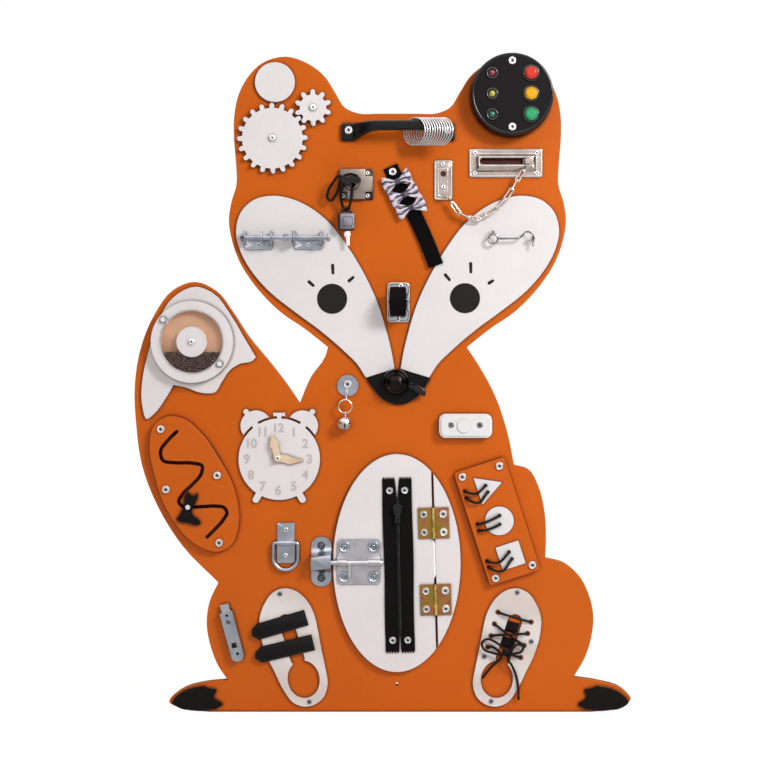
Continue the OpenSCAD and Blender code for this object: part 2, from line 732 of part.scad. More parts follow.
module bolt_brackets() {
  color(zinc) {
    for (x = bracket_x) difference() {
      union() {
        at_front([x, rod_at[1] - 6], panel_t) linear_extrude(sheet) rounded(bracket_l, 18, 2);
        for (s = [-1, 1]) along_rod(x + s * (bracket_l / 2 - sheet / 2))
          translate([0, 0, -sheet / 2]) {
            cylinder(r = 9, h = sheet);
            translate([0, -9, 0]) cube([rod_lift, 18, sheet]);
          }
      }
      along_rod(x - bracket_l) cylinder(r = bolt_r + hole_gap, h = 2 * bracket_l);
      at_front([x, rod_at[1] - 9], panel_t - 1) cylinder(r = drill_r, h = sheet + 2);
    }
    along_rod(rod_at[0] - rod_l / 2) cylinder(r = bolt_r, h = rod_l);
    along_rod(rod_at[0] + rod_l / 2) cylinder(r = 6, h = 4.5, $fn = 6);
    along_rod(rod_at[0] - rod_l / 2 + 1) difference() {
      cylinder(r = 6, h = 5, $fn = 6);
      translate([0, 0, -1]) cylinder(r = bolt_r, h = 7);
    }
  }
  color(steel) for (x = [bracket_x[0] + 5, bracket_x[1] - bracket_l / 2 - 3]) along_rod(x) difference() {
    cylinder(r = 9.5, h = 1.2);
    translate([0, 0, -1]) cylinder(r = bolt_r + hole_gap, h = 4);
  }
}

module wing_nut() {
  color(zinc) along_rod(nut_x) difference() {
    union() {
      cylinder(r = 5.2, h = 7, center = true);
      for (s = [-1, 1]) rotate([0, 0, 62]) translate([0, s * 7.2, 1]) scale([0.32, 1, 0.9]) sphere(5, $fn = 24);
    }
    cylinder(r = bolt_r + run, h = 20, center = true);
  }
}

// ---- gate hook ----

eye_lift = panel_t + 9;    // height of the hook's wire above the board
hook_eye_r = 6.4;
screw_eye_r = 4.4;
hook_line = [[hook_eye_r, 0], [34, 0.5], [40, 4.5], [44, 9.5], [49, 9.5], [eye_right[0] - eye_left[0], 5],
  [eye_right[0] - eye_left[0], -9]];

// A screw eye's ring stands on a stem in the board
module screw_eye(place, up) {
  at_front(place, eye_lift) rotate(up ? [0, 90, 0] : [90, 0, 0]) hoop(screw_eye_r, hook_wire);
  at_front(place, -bite) cylinder(r = hook_wire, h = bite + eye_lift - screw_eye_r);
}
upper_eye = eye_left + [0, hook_eye_r + screw_eye_r - 2 * hook_wire - 0.1];

module gate_hook() {
  color(zinc) at_front(eye_left, eye_lift) {
    hoop(hook_eye_r, hook_wire);
    for (i = [1:len(hook_line) - 1]) wire(hook_line[i - 1], hook_line[i]);
  }
}

// Straight piece of the hook's wire, with a round end
module wire(a, b) translate([a[0], a[1], 0]) rotate(atan2(b[1] - a[1], b[0] - a[0])) {
  rotate([0, 90, 0]) cylinder(r = hook_wire - 0.1, h = norm(b - a), $fn = 20);
  translate([norm(b - a), 0, 0]) sphere(hook_wire + 0.05, $fn = 20);
}

// ---- castor ----

castor_w = 31.5;
castor_h = 55;
axle_lift = wheel_r + sheet + 2;
ear_gap = wheel_w + 1;
castor_screws = [castor_at + [3.2, castor_h / 2 - 4.8], castor_at + [-0.6, -castor_h / 2 + 4.8]];
castor_x = castor_at[0] - 0.8;
wheel_axle_r = 3;

module castor_plate() difference() {
  union() {
    at_front(castor_at) linear_extrude(sheet) rounded(castor_w, castor_h, 6);
    for (s = [-1, 1]) translate([castor_x + s * (ear_gap + sheet) / 2, 0, castor_at[1]]) rotate([0, 90, 0])
      linear_extrude(sheet, center = true) translate([0, -board_t / 2]) {
        translate([-11, -axle_lift]) square([22, axle_lift]);
        translate([0, -axle_lift]) circle(11);
      }
    translate([castor_x, -board_t / 2 - axle_lift, castor_at[1]]) rotate([0, 90, 0]) {
      cylinder(r = wheel_axle_r, h = ear_gap + 2 * sheet + 1, center = true);
      translate([0, 0, (ear_gap + 2 * sheet) / 2]) cylinder(r1 = 5, r2 = 3.4, h = 3);
    }
  }
  for (p = castor_screws) at_front(p, -1) cylinder(r = drill_r, h = sheet + 2);
}

module castor_wheel() {
  color(black) translate([castor_x, -board_t / 2 - axle_lift, castor_at[1]]) rotate([0, 90, 0])
    rotate_extrude($fn = 96) polygon([[wheel_axle_r + run, -wheel_w / 2], [wheel_r - 1.5, -wheel_w / 2],
      [wheel_r, -wheel_w / 2 + 1.5], [wheel_r, wheel_w / 2 - 1.5], [wheel_r - 1.5, wheel_w / 2],
      [wheel_axle_r + run, wheel_w / 2]]);
}

// ---- bicycle bell ----

bell_r = 19;
bell_foot_t = 2.4;
lever_t = 2;
dome_wall = 1.5;
lever_pin = [9.5, 2];
dome_lift = panel_t + bell_foot_t + free + lever_t + free;
bell_turn = -12;

module bell_base() {
  color(black) at_front(bell_at) {
    difference() {
      union() {
        translate([0, 0, panel_t]) cylinder(r = bell_r - 2, h = bell_foot_t);
        translate([0, 0, panel_t]) cylinder(r = 3.4, h = dome_lift + 13 - panel_t);
        translate([lever_pin[0], lever_pin[1], panel_t]) cylinder(r = 1.6, h = dome_lift - panel_t + 1.5);
      }
      translate([0, 0, panel_t - 1]) cylinder(r = drill_r, h = 8);
    }
    translate([0, 0, dome_lift]) rotate_extrude($fn = 96) polygon([[bell_r, 0], [bell_r, 2.5],
      [bell_r - 0.8, 5], [bell_r - 3, 8], [bell_r - 5.5, 10], [12.5, 11], [11.5, 13.6], [8.5, 16.2], [4.5, 17.6],
      [0, 18], [0, 16.4], [4, 16], [8, 14.6], [10.4, 12.6], [11.4, 9.6], [bell_r - 5.8, 8.4],
      [bell_r - 4, 7], [bell_r - 2.2, 4.4], [bell_r - dome_wall, 2.4], [bell_r - dome_wall, 0]]);
  }
}

module bell_lever() {
  color(black) at_front(bell_at, panel_t + bell_foot_t + free) rotate(bell_turn) linear_extrude(lever_t)
    difference() {
      polygon(closed_curve([[6.5, -2.5], [16, -3], [26, -4], [36, -8], [42, -10], [43, -4], [38, 1], [28, 3.5],
        [16, 5.6], [7, 7], [5.4, 3]]));
      rotate(-bell_turn) translate(lever_pin) circle(1.6 + run);
    }
  color(black) at_front(bell_at, panel_t + bell_foot_t + free) rotate(bell_turn) translate([0, 0, lever_t])
    linear_extrude(5) polygon(closed_curve([[25, -3.6], [36, -7.6], [41, -9], [42, -4], [37, 0], [28, 2.6]]));
}

// ---- jingle bell ----

jingle_plate_r = 14.7;
jingle_pin = [-73.5, 436.5];
jingle_pin_r = 1.3;
jingle_ring_r = 10.2;
jingle_ring_at = [-75, 420.5];
jingle_r = 10.5;
jingle_bell_at = [-75.6, 397];

module jingle_plate() difference() {
  union() {
    at_front(jingle_at) cylinder(r = jingle_plate_r, h = sheet, $fn = 64);
    at_front(jingle_pin) cylinder(r = jingle_pin_r, h = 13);
    at_front(jingle_pin, 12.6) cylinder(r = 2.8, h = 1);
  }
  at_front(jingle_at + [0, 2], -1) cylinder(r = drill_r, h = sheet + 2);
}

module jingle_bell() {
  color(zinc) {
    at_front(jingle_pin, 11.6) hoop(jingle_pin_r + run + 0.9, 0.9);
    at_front(jingle_pin - [0, 4.8], 11.6) rotate([90, 0, 0]) cylinder(r = 0.9, h = 4, center = true, $fn = 20);
    at_front(jingle_ring_at, 11.6) hoop(jingle_ring_r - 1, 1);
    difference() {
      at_front(jingle_bell_at, jingle_r + 1) sphere(jingle_r, $fn = 48);
      at_front(jingle_bell_at, jingle_r + 1) sphere(jingle_r - 1, $fn = 48);
      at_front(jingle_bell_at - [0, jingle_r / 2], jingle_r + 1) cube([2, jingle_r, 2 * jingle_r + 6], center = true);
    }
    at_front([jingle_ring_at[0], jingle_ring_at[1] - jingle_ring_r + 1], 11.6) rotate([0, 90, 0])
      linear_extrude(1.8, center = true) difference() {
        union() {
          circle(2.8);
          translate([-1.6, -4.5]) square([3.2, 4.5]);
        }
        circle(1.25);
      }
    at_front(jingle_bell_at - [0, 5.5], jingle_r + 1) sphere(3.5, $fn = 24);
  }
}

// ---- door bell push ----

push_w = 72.5;
push_h = 33;
push_t = 14;
push_wall = 2.4;
push_r = 9.5;
push_at = doorbell_at + [-2.2, 0];
push_screws = [doorbell_at + [-20.1, 0.8], doorbell_at + [19, 0.8]];
push_travel = 2;

module doorbell_case() {
  color(white) at_front(doorbell_at) difference() {
    union() {
      difference() {
        linear_extrude(push_t - 2) rounded(push_w, push_h, 9);
        translate([0, 0, -1]) linear_extrude(push_t - 2 - push_wall + 1)
          rounded(push_w - 2 * push_wall, push_h - 2 * push_wall, 9 - push_wall);
      }
      translate([0, 0, push_t - 2]) linear_extrude(2) rounded(push_w - 5, push_h - 5, 7);
      for (p = push_screws) translate([p[0] - doorbell_at[0], p[1] - doorbell_at[1], 0])
        cylinder(r = 4, h = push_t - 3);
    }
    for (p = push_screws) translate([p[0] - doorbell_at[0], p[1] - doorbell_at[1], -1])
      cylinder(r = drill_r, h = push_t + 2);
    for (p = push_screws) translate([p[0] - doorbell_at[0], p[1] - doorbell_at[1], push_t - 3])
      cylinder(r = head_r + 1, h = 5);
    translate([push_at[0] - doorbell_at[0], 0, 2]) cylinder(r = push_r + run, h = push_t, $fn = 64);
  }
}

module doorbell_button() {
  color("#efeae8") at_front(push_at, push_t - 2 - push_wall - free - 2) {
    cylinder(r = push_r + 1.5, h = 2);
    translate([0, 0, 1.5]) cylinder(r = push_r, h = push_wall + free + 2 + 2.2, $fn = 64);
  }
}

// ---- grain wheel with its window and seeds ----

wheel_lift = panel_t + 0.4;
floor_t = 3;
window_t = 2;
window_ear_at = 49;
ear_angles = [142, -38];
seed_level = -14;

module grain_wheel() {
  color(white) at_front(tail_wheel_at, wheel_lift) difference() {
    cylinder(r = wheel_disc_r, h = wheel_disc_t, $fn = 96);
    translate([0, 0, floor_t]) difference() {
      cylinder(r = pocket_r, h = wheel_disc_t, $fn = 96);
      cylinder(r = hub_r, h = wheel_disc_t, $fn = 96);
    }
    translate([0, 0, -1]) cylinder(r = axle_r + run, h = wheel_disc_t + 2);
    for (a = ear_angles) rotate(a) translate([window_ear_at, 0, wheel_disc_t - bite + 1])
      cylinder(r = drill_r, h = bite);
  }
  color(steel) at_front(tail_wheel_at, wheel_lift + wheel_disc_t) for (a = ear_angles) rotate(a)
    translate([window_ear_at, 0, 0]) {
      translate([0, 0, -bite + 1.5]) cylinder(r = screw_r, h = bite);
      translate([0, 0, window_t]) cylinder(r = head_r, h = head_h);
      translate([0, 0, 0]) cylinder(r = screw_r, h = window_t + 0.5);
    }
}

module grain_window() {
  color([0.85, 0.88, 0.9, 0.4]) at_front(tail_wheel_at, wheel_lift + wheel_disc_t) linear_extrude(window_t) difference() {
    union() {
      circle(pocket_r + 1.8, $fn = 96);
      for (a = ear_angles) rotate(a) {
        translate([window_ear_at, 0]) circle(5.6);
        translate([window_ear_at - 12, -5.6]) square([12, 11.2]);
      }
    }
    circle(hub_r + 0.5, $fn = 96);
    for (a = ear_angles) rotate(a) translate([window_ear_at, 0]) circle(drill_r);
  }
}

module seed_filling() {
  color("#3a2c2a") at_front(tail_wheel_at, wheel_lift + floor_t + free)
    linear_extrude(wheel_disc_t - floor_t - 2 * free) intersection() {
      difference() {
        circle(pocket_r - free, $fn = 96);
        circle(hub_r + free, $fn = 96);
      }
      polygon([[-pocket_r, seed_level + 3], [pocket_r, seed_level - 1.5], [pocket_r, -pocket_r], [-pocket_r, -pocket_r]]);
    }
}

// ---- maze ----

maze = [[-343, 357], [-337, 329], [-327, 295], [-312, 266], [-292, 241], [-270, 226], [-248, 221.5],
  [-231, 231], [-222.5, 252], [-222, 282], [-230, 314], [-248, 348], [-273, 384], [-296, 403], [-318, 407],
  [-336, 396]];
maze_slot = [[-306, 386], [-318, 374], [-328, 359], [-325, 347], [-308, 343.5], [-285, 343], [-271, 339],
  [-272, 329], [-284, 314], [-299, 299], [-303, 290], [-298, 284], [-290, 283], [-270, 283.4], [-250, 284],
  [-241, 282], [-237, 275], [-241, 267], [-252, 254], [-264, 242]];
maze_screws = [[-327.5, 389.4], [-250.4, 326.1], [-320.6, 306.9], [-247.7, 233.9]];
lip_t = 4;
channel_w = 9.6;
rider_at = [-290, 283];
rider_stem = 1.9;
rider_t = 4;
cat = [[-290.3, 304, 1], [-286.5, 298.6, 1], [-281, 298, 1], [-276.6, 302, 1], [-278.6, 292], [-282.8, 283.5],
  [-285.3, 275], [-282, 270], [-275, 265], [-273, 260], [-279, 258.7], [-290.5, 261.5], [-301, 263],
  [-305.5, 266], [-301, 272.4], [-297, 280.7], [-295, 289], [-294.5, 297]];

module maze_panel() {
  color(orange) difference() {
    on_front() linear_extrude(thick_t) polygon(closed_curve(maze, 6));
    on_front(-1) linear_extrude(thick_t + 2) ribbon(open_curve(maze_slot, 4), slot_w / 2);
    on_front(-1) linear_extrude(thick_t - lip_t + 1) ribbon(open_curve(maze_slot, 4), channel_w / 2);
    for (p = maze_screws) at_front(p, -1) cylinder(r = drill_r, h = thick_t + 2);
  }
}

module maze_rider() {
  color(black) {
    on_front(thick_t + free) linear_extrude(rider_t) difference() {
      polygon(closed_curve(cat, 3));
      translate(rider_at) circle(rider_stem + hole_gap);
    }
  }
  color(steel) at_front(rider_at) {
    translate([0, 0, thick_t - lip_t - free - 1.5]) cylinder(r = 4, h = 1.5);
    translate([0, 0, thick_t - lip_t - free - 1]) cylinder(r = rider_stem, h = lip_t + 2 * free + rider_t + 1.2);
    translate([0, 0, thick_t + free + rider_t]) cylinder(r = head_r, h = head_h);
  }
}

// ---- clock ----

hand_t = 3;
bell_gap = 3;

bell_dome_r = 21.2;

module clock_bell(side) mirror([side, 0]) rotate(55) {
  difference() {
    translate([clock_r, 0]) circle(bell_dome_r);
    circle(clock_r + bell_gap, $fn = 96);
  }
  translate([clock_r - 2, -4.7]) square([bell_gap + 6, 9.4]);
  translate([clock_r + bell_dome_r + 2.2, 0]) circle(3.9);
}

module clock_face() {
  color(white) at_front(clock_at) linear_extrude(panel_t) difference() {
    union() {
      circle(clock_r, $fn = 96);
      clock_bell(0);
      clock_bell(1);
      translate([0, clock_r]) square([6, 12], center = true);
      translate([0, clock_r + 5.4]) square([16.6, 5], center = true);
      for (s = [-1, 1]) rotate(-90 + s * 30) {
        translate([clock_r - 4, -4.6]) square([12, 9.2]);
        translate([clock_r + 8, 0]) circle(4.6);
      }
    }
    translate(clock_pin - clock_at) circle(axle_small + hole_gap);
  }
}

axle_small = 2;
hand_arrow = [[-4.5, -4.5, 1], [4.5, -5.5, 1], [5, 17, 1], [7.5, 17.5, 1], [0, hand_l, 1], [-7.5, 17, 1],
  [-4.8, 16.5, 1]];
hand_lozenge = [[-5.5, -6.5, 1], [5, -6.5, 1], [5, 9, 1], [7, 17, 1], [0, hand_l, 1], [-4, 17, 1], [-5.5, 11, 1]];

module clock_hand(points, turn, level) {
  color(beech) at_front(clock_pin, panel_t + level, turn) linear_extrude(hand_t) difference() {
    polygon([for (q = points) flat(q)]);
    circle(axle_small + run);
  }
}
hour_level = 0.4;
minute_level = hour_level + hand_t + free;

module minute_hand() clock_hand(hand_arrow, 14, minute_level);
module hour_hand() clock_hand(hand_lozenge, -96, hour_level);

// ---- D-ring pad eye ----

bail_lift = 5.2;
saddle_r = bail_wire + 1.8;
saddle_w = 20;
bail_x = 17;
bail_drop = 20;
bail_arc = 17;
ring_screws = [dring_at + [0.4, 18], dring_at + [-0.3, -17.2]];

module dring_plate() difference() {
  union() {
    at_front(dring_at + [0, -0.3]) linear_extrude(sheet) rounded(24, 55, 2);
    translate([dring_at[0], -board_t / 2, dring_at[1]]) rotate([0, 90, 0])
      linear_extrude(saddle_w, center = true) {
        translate([0, -bail_lift]) circle(saddle_r);
        translate([-saddle_r, -bail_lift]) square([2 * saddle_r, bail_lift]);
      }
  }
  translate([dring_at[0], -board_t / 2 - bail_lift, dring_at[1]]) rotate([0, 90, 0])
    cylinder(r = bail_wire + run, h = 60, center = true);
  for (p = ring_screws) at_front(p, -1) cylinder(r = drill_r, h = sheet + 2);
}

module ring_bail() {
  color(zinc) at_front(dring_at, bail_lift) {
    rotate([0, 90, 0]) cylinder(r = bail_wire, h = 2 * (bail_x - 3), center = true, $fn = 32);
    for (s = [-1, 1]) {
      translate([s * (bail_x - 3), -3, 0]) rotate(s > 0 ? 0 : 90) rotate_extrude(angle = 90)
        translate([3, 0]) circle(bail_wire, $fn = 24);
      translate([s * bail_x, -3, 0]) rotate([90, 0, 0]) cylinder(r = bail_wire, h = bail_drop - 3, $fn = 24);
    }
    translate([0, -bail_drop, 0]) hoop_arc(bail_arc, bail_wire, 180, 180);
  }
}

// ---- the steel plates that are screwed flat to the board ----

module steel_plates() {
  color(zinc) {
    castor_plate();
    jingle_plate();
    dring_plate();
    strike_plate();
    latch_case();
  }
}

// ---- peekaboo door ----

door_gap = 2.8;
door_lift = 0.4;
hinge_heights = [55, -50];
knuckle_r = 2.5;
hinge_out = door_t + knuckle_r - 0.3;
knuckles = 5;
leaf_screw_x = 13.3;
leaf_screw_z = 12.3;

module door_oval() translate(door_at) scale([door_rx / door_rz, 1]) circle(door_rz, $fn = 144);

// The hinge line leans a little: x is measured from it, y along it
module hinge_plane() translate(hinge_at) rotate(hinge_lean) children();
module hinge_frame(out = 0) at_front(hinge_at, out, hinge_lean) children();

module leaf_screw_holes(z, side) for (s = [-1, 1])
  translate([side * leaf_screw_x, z + s * leaf_screw_z]) circle(drill_r);

module hinge_leaf(z, side) {
  difference() {
    hinge_frame(door_t) linear_extrude(sheet) difference() {
      translate([side * (leaf_w / 2 + 1), z]) square([leaf_w, leaf_h], center = true);
      leaf_screw_holes(z, side);
    }
    hinge_frame(hinge_out) translate([0, z, 0]) rotate([90, 0, 0])
      cylinder(r = knuckle_r + free, h = leaf_h + 2, center = true);
  }
  pitch = leaf_h / knuckles;
  for (i = [0:knuckles - 1]) if ((i % 2 == 0) == (side > 0))
    hinge_frame(hinge_out) translate([0, z + (i - (knuckles - 1) / 2) * pitch, 0]) {
      difference() {
        union() {
          rotate([90, 0, 0]) cylinder(r = knuckle_r, h = pitch - free, center = true);
          translate([side > 0 ? 0 : -knuckle_r - 1, -(pitch - free) / 2, door_t - hinge_out])
            cube([knuckle_r + 1, pitch - free, sheet]);
        }
        rotate([90, 0, 0]) cylinder(r = pin_r + (side > 0 ? 0 : run), h = pitch + 2, center = true);
      }
    }
}

module fixed_hinge_leaves() {
  color(yellow_zinc) for (z = hinge_heights) {
    hinge_leaf(z, 1);
    hinge_frame(hinge_out) translate([0, z, 0]) rotate([90, 0, 0])
      cylinder(r = pin_r, h = leaf_h, center = true);
  }
}

bolt_plate_at = [-56.5, 207.5];
bolt_plate_w = 59;
bolt_plate_h = 61;
bolt_out = door_t + sheet + rod_r + 1.3;
house_r = rod_r + 2;
bolt_screws = [for (x = [-1, 1], z = [-1, 1]) bolt_plate_at + [x * 20, z * 20.6]];
zip_screws = [for (x = [-1, 1], z = [-1, 1]) zip_at + turned([x * 10.3, z * (zip_l / 2 - 15)], zip_lean)];
house_x = [bolt_plate_at[0] - bolt_plate_w / 2 + 6.5, bolt_plate_at[0] + bolt_plate_w / 2 - 8.5];
house_l = [13, 17];

module door_panel() {
  color(white) on_front(door_lift) linear_extrude(door_t - door_lift) difference() {
    door_oval();
    hinge_plane() translate([-door_gap / 2, -200]) square([400, 400]);
    for (z = hinge_heights) hinge_plane() leaf_screw_holes(z, -1);
    for (p = concat(bolt_screws, zip_screws)) translate(p) circle(drill_r);
  }
}

module door_fittings() {
  color(yellow_zinc) for (z = hinge_heights) hinge_leaf(z, -1);
  color(steel) difference() {
    union() {
      at_front(bolt_plate_at, door_t) linear_extrude(sheet) rounded(bolt_plate_w, bolt_plate_h, 6);
      for (i = [0, 1]) translate([house_x[i], -board_t / 2, bolt_z]) rotate([0, 90, 0])
        linear_extrude(house_l[i], center = true) {
          translate([0, -bolt_out]) circle(house_r);
          translate([-house_r, -bolt_out]) square([2 * house_r, bolt_out - door_t]);
        }
    }
    translate([0, -board_t / 2 - bolt_out, bolt_z]) rotate([0, 90, 0])
      cylinder(r = rod_r + run, h = 400, center = true);
    for (p = bolt_screws) at_front(p, door_t - 1) cylinder(r = drill_r, h = sheet + 2);
  }
}

rod_left = -107;
rod_right = -23;
lever_x = -68.8;

module door_bolt() {
  color(steel) {
    translate([rod_left, -board_t / 2 - bolt_out, bolt_z]) rotate([0, 90, 0])
      cylinder(r = rod_r, h = rod_right - rod_left);
    translate([lever_x, -board_t / 2 - bolt_out, bolt_z]) translate([-1.5, -6, -22]) cube([3, 8, 19]);
    translate([lever_x, -board_t / 2 - bolt_out, bolt_z]) translate([-1.5, -6, -6]) cube([3, 5, 6]);
  }
}

strike_rise = bolt_out + house_r;
module strike_plate() difference() {
  union() {
    at_front([strike_x, bolt_z]) linear_extrude(sheet) rounded(27.5, 68, 12);
    translate([strike_x, -board_t / 2, bolt_z]) rotate([0, 90, 0]) linear_extrude(27, center = true)
      polygon([[-12, 0], [-11, -strike_rise + 5], [-7, -strike_rise], [7, -strike_rise],
        [11, -strike_rise + 5], [12, 0]]);
  }
  translate([strike_x, -board_t / 2 - bolt_out, bolt_z]) rotate([0, 90, 0])
    cylinder(r = rod_r + 1, h = 60, center = true);
  translate([strike_x, -board_t / 2, bolt_z]) rotate([0, 90, 0]) linear_extrude(60, center = true)
    polygon([[-9.5, 1], [-8.5, -strike_rise + 9], [8.5, -strike_rise + 9], [9.5, 1]]);
  for (p = strike_screws) at_front(p, -1) cylinder(r = drill_r, h = sheet + 2);
}
strike_screws = [[strike_x, bolt_z + 22.5], [strike_x, bolt_z - 22.5]];

// ---- zip ----

tape_t = 1.2;
coil_w = 6;
coil_t = 1.6;
pink = 2.5;          // depth of the pinked ends of the tape
pink_n = 5;

// Half of the zip's tape, left of its coil, with pinked ends
function pinked(y, sign) = [for (i = [0:2 * pink_n]) [-zip_w / 2 + i * (zip_w / 2 - 3) / (2 * pink_n), y + sign * (i % 2) * pink]];

module zipper_tape() {
  color(black) at_front(zip_at, door_t, zip_lean) {
    linear_extrude(tape_t) difference() {
      for (s = [0, 1]) mirror([s, 0]) polygon(concat(pinked(-zip_l / 2, -1), [[-1, -zip_l / 2], [-1, -zip_l / 2 + 22],
        [-0.01, -zip_l / 2 + 24], [-0.01, zip_l / 2 - 26], [-1, zip_l / 2 - 20], [-3, zip_l / 2]], reversed(pinked(zip_l / 2, 1))));
      for (x = [-1, 1], z = [-1, 1]) translate([x * 10.3, z * (zip_l / 2 - 15)]) circle(drill_r);
    }
    translate([0, -2, tape_t + coil_t / 2 - 0.1]) cube([coil_w, zip_l - 52, coil_t], center = true);
  }
}

slider_top = zip_l / 2 - 41;
module zipper_slider() {
  color(black) at_front(zip_at, door_t, zip_lean) translate([0, slider_top, 0]) {
    difference() {
      translate([0, 0, tape_t + free]) linear_extrude(5) polygon([[-4.5, -7], [4.5, -7], [6.5, 5], [0, 9], [-6.5, 5]]);
      translate([0, 0, tape_t]) cube([coil_w + 2 * free, 40, 2 * coil_t + 0.6], center = true);
    }
    translate([0, -4, tape_t + free + 5]) linear_extrude(1.6) difference() {
      polygon([[-2.5, 4], [2.5, 4], [4, -14], [-4, -14]]);
      translate([0, -10]) circle(1.6);
    }
  }
}

// ---- shape board with its tiles and their cords ----

shape_w = 72.5;
shape_h = 162;
shape_screws = [for (q = [[-26.8, 72.8], [26.2, 71.5], [27.4, -71.4], [-26, -73]]) shape_at + turned(q, shape_turn)];
tile_gap = 0.7;
pocket_d = 8;
tile_hole_r = 2.6;
triangle = [[-12.2, 18.8], [23.6, 1.3], [-11.8, -20.1]];
triangle_at = [-0.6, 48];
circle_at = [3, 0];
square_at = [3, -49.7];
tile_lift = thick_t - pocket_d + 2 * cord_r + 0.2;
tiles = [triangle_at, circle_at, square_at];
// Each tile's two cord holes, and the two holes beside the pocket, in the shape board's own frame
tile_holes = [[[0, 52], [0, 42.5]], [[5.5, 7], [2, -4.5]], [[2.5, -44.5], [3.5, -54.5]]];
side_holes = [[[-29.5, 53.5], [-30.5, 44]], [[-27, 5], [-28, -4]], [[-30, -47], [-30, -56]]];

module tile_shape(i, grow) {
  if (i == 0) translate(triangle_at) offset_triangle(grow);
  if (i == 1) translate(circle_at) circle(tile_r + grow, $fn = 96);
  if (i == 2) translate(square_at) square(tile_side + 2 * grow, center = true);
}

// Triangle whose sides all move out by one distance
module offset_triangle(grow) {
  a = triangle[0];
  b = triangle[1];
  c = triangle[2];
  side = [norm(b - c), norm(c - a), norm(a - b)];
  middle = (a * side[0] + b * side[1] + c * side[2]) / (side[0] + side[1] + side[2]);
  inner_r = abs(cross(b - a, c - a)) / (side[0] + side[1] + side[2]);
  polygon([for (q = triangle) middle + (q - middle) * (1 + grow / inner_r)]);
}

module in_shape(out = 0) at_front(shape_at, out, shape_turn) children();

module shape_board() {
  color(orange) difference() {
    in_shape() linear_extrude(thick_t) rounded(shape_w, shape_h, 4);
    for (i = [0:2]) {
      in_shape(thick_t - pocket_d) linear_extrude(pocket_d + 1) tile_shape(i, tile_gap);
      for (p = side_holes[i]) in_shape() translate([p[0], p[1], -1]) cylinder(r = tile_hole_r, h = thick_t + 2);
    }
    for (p = shape_screws) at_front(p, -1) cylinder(r = drill_r, h = thick_t + 2);
  }
}

module tile(i) {
  color(white) in_shape(tile_lift) linear_extrude(tile_t) difference() {
    tile_shape(i, 0);
    for (p = tile_holes[i]) translate(p) circle(tile_hole_r);
  }
}

// A cord runs from one side hole over the face, through the tile, behind it and back to the other side hole
over = 4;            // how far a cord's strands rise above the tile
cord_sag = [7, 1, 7];
function cord_route(i) = let (a = side_holes[i][0], b = side_holes[i][1], c = tile_holes[i][0], d = tile_holes[i][1],
  top = tile_lift + tile_t, low = tile_lift - cord_r - 0.05, sag = cord_sag[i])
  [[a[0], a[1], 0.6], [a[0], a[1], thick_t + 0.8], [a[0] * 0.86 + c[0] * 0.14, a[1] * 0.86 + c[1] * 0.14 - sag * 0.5, top + over],
  [(a[0] + c[0]) / 2, (a[1] + c[1]) / 2 - sag, top + over + 0.5],
  [a[0] * 0.14 + c[0] * 0.86, a[1] * 0.14 + c[1] * 0.86 - sag * 0.3, top + over], [c[0], c[1], top + 0.8],
  [c[0], c[1], low + 1.2], [(c[0] + d[0]) / 2, (c[1] + d[1]) / 2, low],
  [d[0], d[1], low + 1.2], [d[0], d[1], top + 0.8],
  [b[0] * 0.14 + d[0] * 0.86, b[1] * 0.14 + d[1] * 0.86 - sag * 0.4, top + over],
  [(b[0] + d[0]) / 2, (b[1] + d[1]) / 2 - sag * 1.5, top + over + 0.5],
  [b[0] * 0.86 + d[0] * 0.14, b[1] * 0.86 + d[1] * 0.14 - sag * 0.8, top + over], [b[0], b[1], thick_t + 0.8],
  [b[0], b[1], 0.6]];

module tile_cord(i) color(black) in_shape() tube(cord_route(i), cord_r, [0, 1, 0]);

module tile_triangle() tile(0);
module tile_circle() tile(1);
module tile_square() tile(2);
module cord_triangle() tile_cord(0);
module cord_circle() tile_cord(1);
module cord_square() tile_cord(2);

// ---- snib latch ----

latch_l = 70;
latch_w = 17.5;
latch_h = 10;
snib_w = 12;
snib_t = 5;
latch_screws = [latch_at + turned([0, 18], latch_turn)];
latch_travel = 8;

module latch_case() difference() {
  at_front(latch_at, 0, latch_turn) linear_extrude(latch_h) difference() {
    translate([0, -3]) union() {
      translate([-latch_w / 2, -latch_l / 2 + latch_w / 2]) square([latch_w, latch_l - latch_w / 2]);
      translate([0, -latch_l / 2 + latch_w / 2]) circle(latch_w / 2);
    }
    translate([-0.5, 0]) translate([0, -15]) square([7, 7], center = true);
    translate([0, 27]) circle(2);
    translate([1, -27]) circle(2);
  }
  at_front(latch_at, latch_h / 2 - snib_t / 2 - 0.1, latch_turn) translate([-snib_w / 2 - 0.1, 12.4, 0])
    cube([snib_w + 0.2, 30, snib_t + 0.2]);
  for (p = latch_screws) at_front(p, -1) cylinder(r = drill_r, h = latch_h + 2);
}

module latch_bolt() {
  color(steel) difference() {
    at_front(latch_at, latch_h / 2 - snib_t / 2, latch_turn) linear_extrude(snib_t) difference() {
      translate([-snib_w / 2, 21.5]) square([snib_w, 21]);
      translate([0, 24]) square([4.4, 8.4], center = true);
    }
  }
}

// ---- shoes ----

shoe = [[-161.8, 170.2], [-146, 168], [-131, 157], [-119, 137], [-113, 113], [-108, 86], [-102.5, 60], [-99.5, 38],
  [-105, 21], [-118, 10.5], [-131, 8], [-146, 13], [-159, 29], [-172, 55], [-184, 80], [-191.5, 106], [-193, 130],
  [-186, 150], [-175, 164.5]];
heel_at = [-132.5, 45.5];
heel_rx = 22;
heel_rz = 26;
heel_turn = 8;
slot_top = [-157, 128];
slot_low = [-142, 72];
tongue_w = 20;
lace_hole_r = 3.3;
shoe_screws_left = [[-165, 163.2], [-124.5, 14.8]];
shoe_screws_right = [[161, 165], [180.3, 97.7], [115.6, 77], [125.2, 15.6]];
